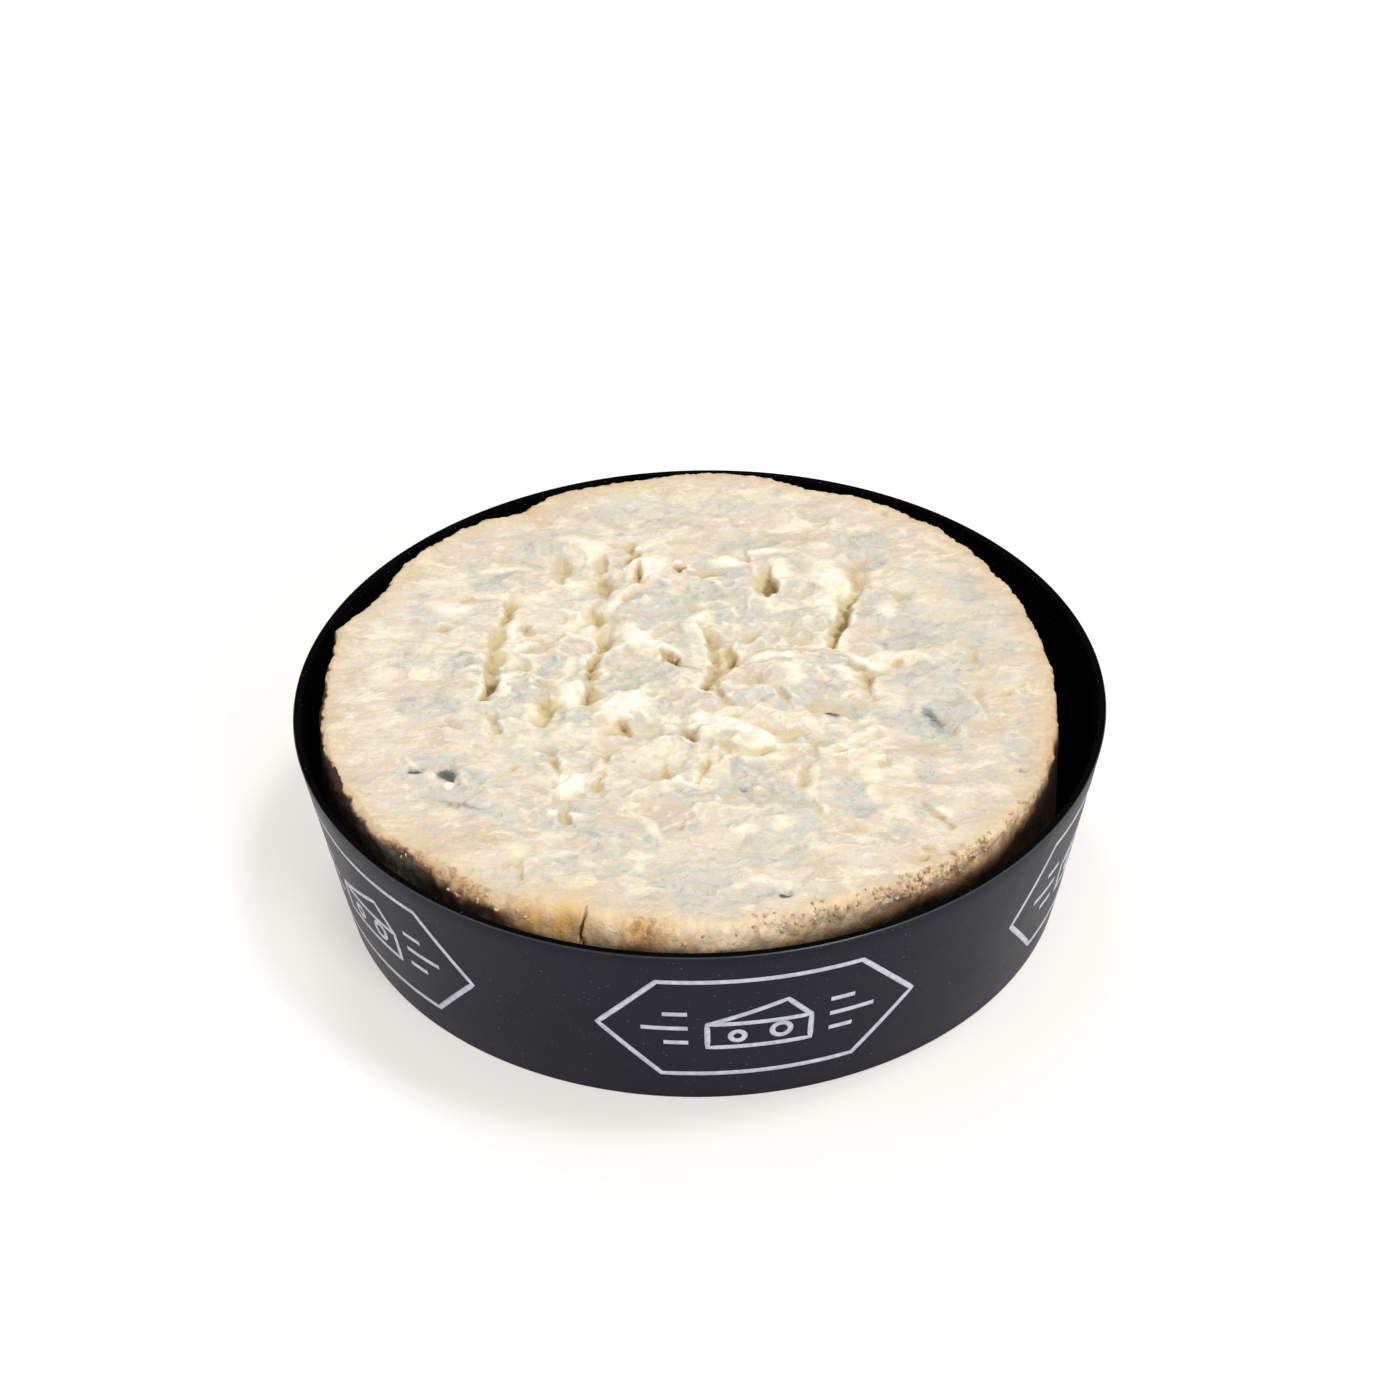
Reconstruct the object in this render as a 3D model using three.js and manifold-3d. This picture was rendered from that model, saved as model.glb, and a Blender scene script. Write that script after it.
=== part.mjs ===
// Half a wheel of soft blue cheese, sliced level through the middle and lying cut face up in its
// own round black tub. Millimetres, +Z up, with the origin on the resting plane under the tub's axis.
import * as THREE from "three";
import { mergeVertices } from "three/addons/utils/BufferGeometryUtils.js";
import Module from "manifold-3d";

// Driving dimensions.
const tubSize = {
  rimRadius: 155,
  baseRadius: 139.5,
  height: 80.5,
  wall: 3,
  floor: 3.2,
  footWidth: 13,
  footRecess: 1.2,
  cornerRadius: 6,
  bottomBevel: 1.2,
  segments: 80,
};
const cheeseSize = {
  radius: 142,
  centre: { x: -3.5, y: 3.5 },
  faceHeight: 82.5,
  edgeRounding: 3.5,
  bellyBulge: 0.8,
  cragHeight: 0.5,
  cragsAround: 23,
  cragTwist: 20,
  footRounding: 16,
  clearance: 0.6,
  wallBlend: 3,
  rings: 24,
  sideRows: 7,
};

// The outline is a little longer from front to back, with two slow ripples in the rind.
const outlineWaves = [
  { lobes: 2, height: 2.4, turn: 180 },
  { lobes: 5, height: 0.9, turn: 35 },
  { lobes: 9, height: 0.6, turn: 115 },
];
// Where the rind has come away or been pressed in: bearing and spread in degrees, depth in mm.
const rindNotches = [
  { bearing: 153, spread: 5, depth: 4 },
  { bearing: 120, spread: 4, depth: 3.5 },
  { bearing: -104, spread: 13, depth: 3.5 },
  { bearing: -48, spread: 9, depth: 1.5 },
];

// Swells that the slicing wire and the soft paste leave all over the face, roughest in the middle.
// bearing is the way that a swell's waves run, in degrees.
const swells = [
  { length: 118, height: 0.8, bearing: 20, phase: 0.6 },
  { length: 71, height: 0.6, bearing: 100, phase: 2.1 },
  { length: 43, height: 0.5, bearing: -35, phase: 4 },
  { length: 31, height: 0.45, bearing: 62, phase: 1.2 },
  { length: 24, height: 0.4, bearing: -80, phase: 5.1 },
];
const roughMiddle = { radius: 95, gain: 0.9, rest: 0.45 };

// Creamy mounds that stand proud of the cut face, and hollows where the paste has torn away.
const mounds = [
  { x: -30, y: -9, length: 28, width: 15, height: 2.8, turn: 0 },
  { x: 12, y: -29, length: 46, width: 13, height: 2.4, turn: -20 },
  { x: -48, y: -54, length: 20, width: 22, height: 2, turn: 0 },
  { x: -28, y: -48, length: 16, width: 26, height: 1.6, turn: 0 },
  { x: -14, y: 73, length: 17, width: 22, height: 2.4, turn: 0 },
  { x: -51, y: 98, length: 26, width: 13, height: 1.7, turn: 0 },
  { x: -69, y: 44, length: 28, width: 12, height: 2, turn: 85 },
  { x: 48, y: 58, length: 34, width: 15, height: 2.4, turn: 70 },
  { x: 28, y: 87, length: 26, width: 13, height: 1.8, turn: 0 },
  { x: -27, y: 42, length: 38, width: 13, height: 2.4, turn: 80 },
  { x: -50, y: -24, length: 18, width: 16, height: 1.7, turn: 0 },
  { x: 42, y: 12, length: 44, width: 16, height: 2.2, turn: 0 },
  { x: 52, y: -46, length: 36, width: 15, height: 1.6, turn: 10 },
  { x: -88, y: 22, length: 38, width: 12, height: 1.6, turn: 84 },
  { x: -45, y: 49, length: 34, width: 13, height: -1.8, turn: 80 },
  { x: -58, y: -9, length: 30, width: 14, height: -1.6, turn: 80 },
  { x: 2, y: 18, length: 30, width: 22, height: -1.6, turn: 30 },
  { x: 72, y: 24, length: 44, width: 20, height: -1.4, turn: 80 },
];

// Open slits and holes in the cut face. turn is measured from +X, and lean tips the slit's floor.
const slits = [
  { x: -74, y: 53, length: 19, width: 3, depth: 3.5, turn: 80, lean: 8 },
  { x: -79.5, y: 11, length: 40, width: 5, depth: 7, turn: 84, lean: 14 },
  { x: -57, y: -9, length: 21, width: 6.5, depth: 4.5, turn: 80, lean: -12 },
  { x: -40, y: 8, length: 27, width: 3.4, depth: 4, turn: 79, lean: 10 },
  { x: -37, y: 34, length: 24, width: 6, depth: 3, turn: 75, lean: 12 },
  { x: -38, y: 72, length: 17, width: 6, depth: 4.5, turn: 86, lean: 0 },
  { x: -25, y: 88, length: 30, width: 3, depth: 4.5, turn: 97, lean: 0 },
  { x: 1, y: 77, length: 22, width: 4, depth: 4.5, turn: -6, lean: 15 },
  { x: 28, y: 74, length: 19, width: 5.4, depth: 8, turn: 94, lean: 0 },
  { x: 57.5, y: 45, length: 42, width: 5.4, depth: 8, turn: 73, lean: -16 },
  { x: 66, y: 7, length: 24, width: 5, depth: 3.4, turn: 84, lean: -10 },
  { x: -10, y: 20, length: 10, width: 4.4, depth: 6, turn: -60, lean: 0 },
  { x: 9, y: 27, length: 24, width: 4.4, depth: 4.5, turn: -58, lean: 0 },
  { x: 5, y: 5, length: 12, width: 4.6, depth: 6, turn: 62, lean: 0 },
  { x: -29, y: -22, length: 8, width: 4.6, depth: 7, turn: -45, lean: 0 },
  { x: -5, y: -29, length: 7.4, width: 4.6, depth: 7, turn: -50, lean: 0 },
  { x: -50.5, y: -75, length: 13, width: 3.6, depth: 4.5, turn: 88, lean: 0 },
  { x: -13, y: -51, length: 16, width: 3.2, depth: 4, turn: 81, lean: 0 },
  { x: -36.5, y: -49, length: 15, width: 3, depth: 3.5, turn: 77, lean: 0 },
  { x: 88, y: -83, length: 11, width: 3.4, depth: 3.5, turn: -54, lean: 0 },
  { x: 90, y: -22, length: 17, width: 5, depth: 4.5, turn: -70, lean: 10 },
  { x: -94, y: -50, length: 9, width: 5.4, depth: 5, turn: -60, lean: 0 },
  { x: -107, y: -47, length: 6, width: 4.4, depth: 3.5, turn: -20, lean: 0 },
  { x: 28.5, y: -122, length: 6, width: 4, depth: 3.5, turn: -45, lean: 0 },
];
// The split in the rind at the front, which starts at the face and runs down the side.
const rindSplit = { bearing: -106.5, height: 34, width: 2.6, depth: 7, drop: 12 };

const radians = THREE.MathUtils.degToRad;
const cheeseFoot = tubSize.floor + cheeseSize.clearance / 2;
const wallSlope = (tubSize.rimRadius - tubSize.baseRadius) / tubSize.height;

// Smooth bell that is 1 at the middle and fades out past an offset of 1.
const bell = (offset) => Math.exp(-offset * offset);

// The smaller of two numbers, blended over a stretch so that no crease shows.
function softMinimum(a, b, blend) {
  const share = THREE.MathUtils.clamp(0.5 + (b - a) / (2 * blend), 0, 1);
  return THREE.MathUtils.lerp(b, a, share) - blend * share * (1 - share);
}

// Angle between two bearings, in degrees, from -180 to 180.
function bearingBetween(a, b) {
  return ((((a - b + 180) % 360) + 360) % 360) - 180;
}

// Distance of the cut edge from the cheese's own centre.
function outlineRadius(bearing) {
  let radius = cheeseSize.radius;
  for (const wave of outlineWaves) {
    radius += wave.height * Math.cos(radians(wave.lobes * bearing + wave.turn));
  }
  for (const notch of rindNotches) {
    radius -= notch.depth * bell(bearingBetween(bearing, notch.bearing) / notch.spread);
  }
  return radius;
}

// Coordinates of a point along and across a feature, as shares of its half length and half width.
function alongAndAcross(feature, x, y) {
  const turn = radians(feature.turn);
  const dx = x - feature.x;
  const dy = y - feature.y;
  return [
    (2 * (dx * Math.cos(turn) + dy * Math.sin(turn))) / feature.length,
    (2 * (dy * Math.cos(turn) - dx * Math.sin(turn))) / feature.width,
  ];
}

// Height of the cut face at a point, before the slits are opened.
function faceHeight(x, y) {
  const roughness = roughMiddle.rest + roughMiddle.gain * bell(Math.hypot(x, y) / roughMiddle.radius);
  let height = cheeseSize.faceHeight;
  for (const swell of swells) {
    const along = x * Math.cos(radians(swell.bearing)) + y * Math.sin(radians(swell.bearing));
    height += roughness * swell.height * Math.sin((2 * Math.PI * along) / swell.length + swell.phase);
  }
  for (const mound of mounds) {
    const [along, across] = alongAndAcross(mound, x, y);
    height += mound.height * bell(along) * bell(across);
  }
  return height;
}

// How far the tub's inner wall is from the cheese's centre, along a bearing and at a height.
function roomInTub(bearing, z) {
  const inner = tubSize.baseRadius - tubSize.wall + wallSlope * z;
  const { x, y } = cheeseSize.centre;
  const along = x * Math.cos(radians(bearing)) + y * Math.sin(radians(bearing));
  const offset = x * x + y * y;
  return Math.sqrt(inner * inner - offset + along * along) - along - cheeseSize.clearance;
}

// Radius of the rind at a bearing and height: a slight belly, a rounded foot, held in by the tub.
function sideRadius(bearing, z) {
  const share = (z - cheeseFoot) / (cheeseSize.faceHeight - cheeseFoot);
  const phase = radians(cheeseSize.cragsAround * bearing) + cheeseSize.cragTwist * share;
  const bulge = cheeseSize.bellyBulge + cheeseSize.cragHeight * Math.sin(phase);
  const free = outlineRadius(bearing) + bulge * Math.sin(Math.PI * share);
  let room = roomInTub(bearing, z);
  const up = z - cheeseFoot;
  if (up < cheeseSize.footRounding) {
    const short = cheeseSize.footRounding - up;
    room -= cheeseSize.footRounding - Math.sqrt(cheeseSize.footRounding ** 2 - short ** 2);
  }
  return softMinimum(free, room, cheeseSize.wallBlend);
}

// Fills the band between two closed rings of vertex numbers, which may differ in length.
function stitch(outer, inner, triangles) {
  let o = 0;
  let i = 0;
  while (o < outer.length || i < inner.length) {
    const outerShare = (o + 1) / outer.length;
    const innerShare = (i + 1) / inner.length;
    const outerNow = outer[o % outer.length];
    const innerNow = inner[i % inner.length];
    if (outerShare <= innerShare) {
      triangles.push(outerNow, outer[(o + 1) % outer.length], innerNow);
      o += 1;
    } else {
      triangles.push(outerNow, inner[(i + 1) % inner.length], innerNow);
      i += 1;
    }
  }
}

// The whole cheese as one closed mesh: the cut face in rings, then the rind, then the flat foot.
function uncutCheese() {
  const positions = [];
  const triangles = [];
  const { x: cx, y: cy } = cheeseSize.centre;
  const addRing = (count, pointAt) => {
    const ring = [];
    for (let n = 0; n < count; n += 1) {
      positions.push(...pointAt((360 * n) / count));
      ring.push(positions.length / 3 - 1);
    }
    return ring;
  };
  const pointOut = (bearing, radius) => [
    cx + radius * Math.cos(radians(bearing)),
    cy + radius * Math.sin(radians(bearing)),
  ];

  const faceRings = [];
  for (let k = 1; k <= cheeseSize.rings; k += 1) {
    const share = k / cheeseSize.rings;
    faceRings.push(
      addRing(8 * k, (bearing) => {
        const edge = outlineRadius(bearing) - cheeseSize.edgeRounding;
        const [x, y] = pointOut(bearing, share * edge);
        return [x, y, faceHeight(x, y)];
      }),
    );
  }
  positions.push(cx, cy, faceHeight(cx, cy));
  const middle = positions.length / 3 - 1;
  faceRings[0].forEach((vertex, n) => {
    triangles.push(vertex, faceRings[0][(n + 1) % faceRings[0].length], middle);
  });
  for (let k = 1; k < faceRings.length; k += 1) {
    stitch(faceRings[k], faceRings[k - 1], triangles);
  }

  // The rounded shoulder, then the side in even steps down to the hidden foot.
  const around = 8 * cheeseSize.rings;
  const shoulderAngles = [35, 75];
  const rings = shoulderAngles.map((angle) =>
    addRing(around, (bearing) => {
      const out = cheeseSize.edgeRounding * (1 - Math.sin(radians(angle)));
      const drop = cheeseSize.edgeRounding * (1 - Math.cos(radians(angle)));
      const [x, y] = pointOut(bearing, outlineRadius(bearing) - out);
      return [x, y, faceHeight(x, y) - drop];
    }),
  );
  const sideTop = cheeseSize.faceHeight - 2 * cheeseSize.edgeRounding;
  for (let row = 0; row <= cheeseSize.sideRows; row += 1) {
    const z = THREE.MathUtils.lerp(sideTop, cheeseFoot, row / cheeseSize.sideRows);
    rings.push(addRing(around, (bearing) => [...pointOut(bearing, sideRadius(bearing, z)), z]));
  }
  let above = faceRings[faceRings.length - 1];
  for (const ring of rings) {
    stitch(ring, above, triangles);
    above = ring;
  }
  positions.push(cx, cy, cheeseFoot);
  const foot = positions.length / 3 - 1;
  above.forEach((vertex, n) => {
    triangles.push(above[(n + 1) % above.length], vertex, foot);
  });

  const geometry = new THREE.BufferGeometry();
  geometry.setAttribute("position", new THREE.Float32BufferAttribute(positions, 3));
  geometry.setIndex(triangles);
  return geometry;
}

// A long egg-shaped cutter for one slit, which reaches the slit's depth below the face.
function slitCutter(slit) {
  const geometry = new THREE.IcosahedronGeometry(1, 1);
  geometry.scale(slit.length / 2, slit.width / 2, slit.depth);
  geometry.rotateX(radians(slit.lean));
  geometry.rotateZ(radians(slit.turn));
  geometry.translate(slit.x, slit.y, faceHeight(slit.x, slit.y));
  return geometry;
}

// The cutter for the split in the rind stands upright across the shoulder.
function splitCutter() {
  const { bearing, height, width, depth, drop } = rindSplit;
  const radius = outlineRadius(bearing);
  const geometry = new THREE.IcosahedronGeometry(1, 1);
  geometry.scale(depth, width / 2, height / 2);
  geometry.rotateZ(radians(bearing));
  geometry.translate(
    cheeseSize.centre.x + radius * Math.cos(radians(bearing)),
    cheeseSize.centre.y + radius * Math.sin(radians(bearing)),
    cheeseSize.faceHeight - drop,
  );
  return geometry;
}

// The tub turned in one piece: foot ring, flaring wall, rounded rim and flat floor.
function tubGeometry() {
  const { rimRadius, baseRadius, height, wall, floor, cornerRadius, bottomBevel } = tubSize;
  const outerAt = (z) => baseRadius + wallSlope * z;
  const footInner = baseRadius - tubSize.footWidth;
  const profile = [
    new THREE.Vector2(0, tubSize.footRecess),
    new THREE.Vector2(footInner, tubSize.footRecess),
    new THREE.Vector2(footInner + bottomBevel, 0),
    new THREE.Vector2(baseRadius - bottomBevel, 0),
    new THREE.Vector2(outerAt(bottomBevel), bottomBevel),
  ];
  const rimCentre = new THREE.Vector2(rimRadius - wall / 2, height - wall / 2);
  const rimSteps = 4;
  for (let step = 0; step <= rimSteps; step += 1) {
    const angle = Math.PI * (step / rimSteps);
    profile.push(
      new THREE.Vector2(
        rimCentre.x + (wall / 2) * Math.cos(angle),
        rimCentre.y + (wall / 2) * Math.sin(angle),
      ),
    );
  }
  const cornerSteps = 3;
  const cornerZ = floor + cornerRadius;
  const cornerR = outerAt(cornerZ) - wall - cornerRadius;
  for (let step = 0; step <= cornerSteps; step += 1) {
    const angle = (Math.PI / 2) * (step / cornerSteps);
    profile.push(
      new THREE.Vector2(
        cornerR + cornerRadius * Math.cos(angle),
        cornerZ - cornerRadius * Math.sin(angle),
      ),
    );
  }
  profile.push(new THREE.Vector2(0, floor));
  const geometry = new THREE.LatheGeometry(profile, tubSize.segments);
  geometry.rotateX(Math.PI / 2);
  return geometry;
}

const wasm = await Module();
wasm.setup();

// A closed mesh as a solid that can be cut, with vertices at one place joined.
function toSolid(geometry) {
  const bare = geometry.clone();
  bare.deleteAttribute("normal");
  bare.deleteAttribute("uv");
  const merged = mergeVertices(bare, 1e-3);
  return new wasm.Manifold(
    new wasm.Mesh({
      numProp: 3,
      vertProperties: merged.getAttribute("position").array,
      triVerts: new Uint32Array(merged.index.array),
    }),
  );
}

function toGeometry(solid) {
  const mesh = solid.getMesh();
  const geometry = new THREE.BufferGeometry();
  geometry.setAttribute("position", new THREE.BufferAttribute(mesh.vertProperties, 3));
  geometry.setIndex(new THREE.BufferAttribute(mesh.triVerts, 1));
  geometry.computeVertexNormals();
  return geometry;
}

function cheeseGeometry() {
  let solid = toSolid(uncutCheese());
  for (const slit of slits) {
    solid = solid.subtract(toSolid(slitCutter(slit)));
  }
  return toGeometry(solid.subtract(toSolid(splitCutter())));
}

function namedMesh(name, geometry, material) {
  const mesh = new THREE.Mesh(geometry, new THREE.MeshStandardMaterial(material));
  mesh.name = name;
  return mesh;
}

const part = new THREE.Group();
part.add(
  namedMesh("tub", tubGeometry(), { color: 0x2b2a2f, roughness: 0.55, metalness: 0 }),
  namedMesh("cheese", cheeseGeometry(), { color: 0xeaddc7, roughness: 0.5, metalness: 0 }),
);

export default part;
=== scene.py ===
import math

import bpy
import numpy as np
from mathutils import Matrix, Vector


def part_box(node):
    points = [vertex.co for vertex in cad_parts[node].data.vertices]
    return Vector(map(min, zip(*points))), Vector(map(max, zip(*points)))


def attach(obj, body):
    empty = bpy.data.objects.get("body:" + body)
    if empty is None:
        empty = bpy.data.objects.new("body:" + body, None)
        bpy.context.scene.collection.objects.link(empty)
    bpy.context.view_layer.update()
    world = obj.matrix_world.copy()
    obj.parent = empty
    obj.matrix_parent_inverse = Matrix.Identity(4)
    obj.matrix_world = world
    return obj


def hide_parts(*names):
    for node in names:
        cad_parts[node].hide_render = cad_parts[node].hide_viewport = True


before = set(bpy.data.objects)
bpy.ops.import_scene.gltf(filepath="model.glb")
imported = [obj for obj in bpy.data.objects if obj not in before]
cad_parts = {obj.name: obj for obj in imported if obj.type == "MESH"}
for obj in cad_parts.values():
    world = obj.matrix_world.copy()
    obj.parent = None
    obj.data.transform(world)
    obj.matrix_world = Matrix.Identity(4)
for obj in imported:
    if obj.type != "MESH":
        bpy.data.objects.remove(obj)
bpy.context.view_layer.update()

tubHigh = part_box("tub")[1]
mm = 0.001
rimRadius, tubHeight = tubHigh.x / mm, tubHigh.z / mm
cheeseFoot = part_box("cheese")[0].z / mm


def srgb(red, green, blue):
    def linear(channel):
        channel /= 255
        return channel / 12.92 if channel <= 0.04045 else ((channel + 0.055) / 1.055) ** 2.4
    return (linear(red), linear(green), linear(blue), 1.0)


# The tub. Lengths are in millimetres, here and below, except where a note says metres.
tub = {
    "footShare": 0.9,          # foot radius as a share of the rim's
    "wall": 3.0,
    "floor": 3.2,
    "footWidth": 13.0,
    "footRecess": 1.2,
    "bottomBevel": 1.2,
    "rimBevel": 0.55,
    "insideCorner": 6.0,
    "segments": 288,
    "dust": srgb(150, 148, 150),
    "dustShare": 0.2,
    "grainHeight": 0.0002,     # metres
    # each part's colour, lowest and highest roughness, specular level and strength of the grain
    "tubOutside": (srgb(20, 19, 30), 0.36, 0.46, 0.12, 0.25),
    # the inside and the rim's flat top: near black as painted shade, with little specular
    "tubInsidePaintedShade": (srgb(2, 2, 2), 0.7, 0.85, 0.02, 0.2),
    # the rim's outer edge: glossier, and lighter as a painted highlight
    "tubRimPaintedHighlight": (srgb(34, 33, 40), 0.24, 0.34, 0.5, 0.1),
}
footRadius = rimRadius * tub["footShare"]
wallSlope = (rimRadius - footRadius) / tubHeight


# Seeded gradient noise on points in millimetres, from about -1 to 1.
def noise(x, y, size, seed):
    table = np.random.RandomState(seed)
    shuffled = table.permutation(256)
    turns = table.uniform(0, 2 * np.pi, 256)
    gx, gy = np.cos(turns), np.sin(turns)
    px, py = x / size, y / size
    ix, iy = np.floor(px).astype(int), np.floor(py).astype(int)
    fx, fy = px - ix, py - iy
    wx = fx * fx * fx * (fx * (fx * 6 - 15) + 10)
    wy = fy * fy * fy * (fy * (fy * 6 - 15) + 10)

    def corner(dx, dy):
        pick = shuffled[(shuffled[(ix + dx) % 256] + iy + dy) % 256]
        return gx[pick] * (fx - dx) + gy[pick] * (fy - dy)

    near = corner(0, 0) * (1 - wx) + corner(1, 0) * wx
    far = corner(0, 1) * (1 - wx) + corner(1, 1) * wx
    return 1.6 * (near * (1 - wy) + far * wy)


def layeredNoise(x, y, size, seed, layers=3):
    total = 0.0
    for layer in range(layers):
        total = total + noise(x, y, size / 2 ** layer, seed + layer) / 2 ** layer
    return total / 1.5


# Points moved by a broad and a fine noise, each with its reach and its size.
def wandered(x, y, seed, reach, size, fineReach, fineSize):
    return [
        value + reach * noise(x, y, size, first) + fineReach * noise(x, y, fineSize, first + 1)
        for value, first in ((x, seed), (y, seed + 2))
    ]


def smoothStep(low, high, value):
    share = np.clip((value - low) / (high - low), 0, 1)
    return share * share * (3 - 2 * share)


def bell(offset):
    return np.exp(-offset * offset)


# How far points are along and across a feature, as shares of its half length and half width.
def alongAcross(feature, x, y):
    cx, cy, length, width, turn = feature[:5]
    turn = math.radians(turn)
    dx, dy = x - cx, y - cy
    along = 2 * (dx * math.cos(turn) + dy * math.sin(turn)) / length
    across = 2 * (dy * math.cos(turn) - dx * math.sin(turn)) / width
    return along, across


def apart(bearing, middle):
    return (bearing - middle + 180) % 360 - 180


def softMinimum(a, b, blend):
    share = np.clip(0.5 + (b - a) / (2 * blend), 0, 1)
    return b + (a - b) * share - blend * share * (1 - share)


# The cheese, in millimetres and degrees.
cheese = {
    "radius": 142.3,
    "centre": (-3.5, 3.5),
    "stretch": 1.8,            # how much longer it is from front to back
    "faceHeight": 82.5,
    "edgeRounding": 1.8,       # at the back
    "frontRounding": 5.0,      # added to it round the worn front
    "bellyBulge": 0.8,
    "footRounding": 16.0,
    "clearance": 0.6,
    "wallBlend": 3.0,
    "rings": 140,              # rings of the cut face, where ring k has 8k points
    "sideRows": 12,
    "tornMiddle": (-8, 12),    # the torn part of the face
    "tornRadius": 92.0,
    "tornHeight": 1.5,
    "smearHeight": 1.0,        # soft lumps all over
    "dragHeight": 0.34,        # fine streaks that the wire left along X
    "grooveDepth": 0.74,       # scales the depths listed below
    "lipHeight": 0.4,          # paste pushed up beside the grooves
    "crumble": 0.9,            # of the grooves' walls and the torn paste
    "tallest": 4.4,            # above faceHeight
}

# Bumps of the outline, and notches where the rind has come away: bearing, spread, height.
rindBumps = [
    (10, 18, -2.2), (52, 10, 2.4), (84, 8, 4.2), (98, 5, -1.6), (120, 5, -5.0), (153, 6, -3.8),
    (163, 4, 2.4), (-160, 14, 2.4), (-142, 7, 2.6), (-122, 6, 2.8), (-107, 6, -2.6), (-88, 8, 2.2),
    (-34, 18, 3.2),
]
# Swells all over the face: length, height, bearing, phase.
swells = [
    (118, 0.8, 20, 0.6),
    (71, 0.6, 100, 2.1),
    (43, 0.5, -35, 4.0),
    (31, 0.45, 62, 1.2),
    (24, 0.4, -80, 5.1),
]
# Mounds and hollows: x, y, length, width, turn, height.
mounds = [
    (-30, -9, 28, 15, 0, 2.8), (12, -29, 46, 13, -20, 2.4), (-48, -54, 20, 22, 0, 2.0),
    (-28, -48, 16, 26, 0, 1.6), (-14, 73, 17, 22, 0, 2.4), (-51, 98, 26, 13, 0, 1.7),
    (-69, 44, 28, 12, 85, 2.0), (48, 58, 34, 15, 70, 2.4), (28, 87, 26, 13, 0, 1.8),
    (-27, 42, 38, 13, 80, 2.4), (-50, -24, 18, 16, 0, 1.7), (42, 12, 44, 16, 0, 2.2),
    (52, -46, 36, 15, 10, 1.6), (-88, 22, 38, 12, 84, 1.6), (-45, 49, 34, 13, 80, -1.8),
    (-58, -9, 30, 14, 80, -1.6), (2, 18, 30, 22, 30, -1.6), (72, 24, 44, 20, 80, -1.4),
    (8, 21, 22, 15, 70, -1.6), (64, 76, 22, 13, 80, -1.6), (-54, 84, 16, 12, 80, -1.4),
]
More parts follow.
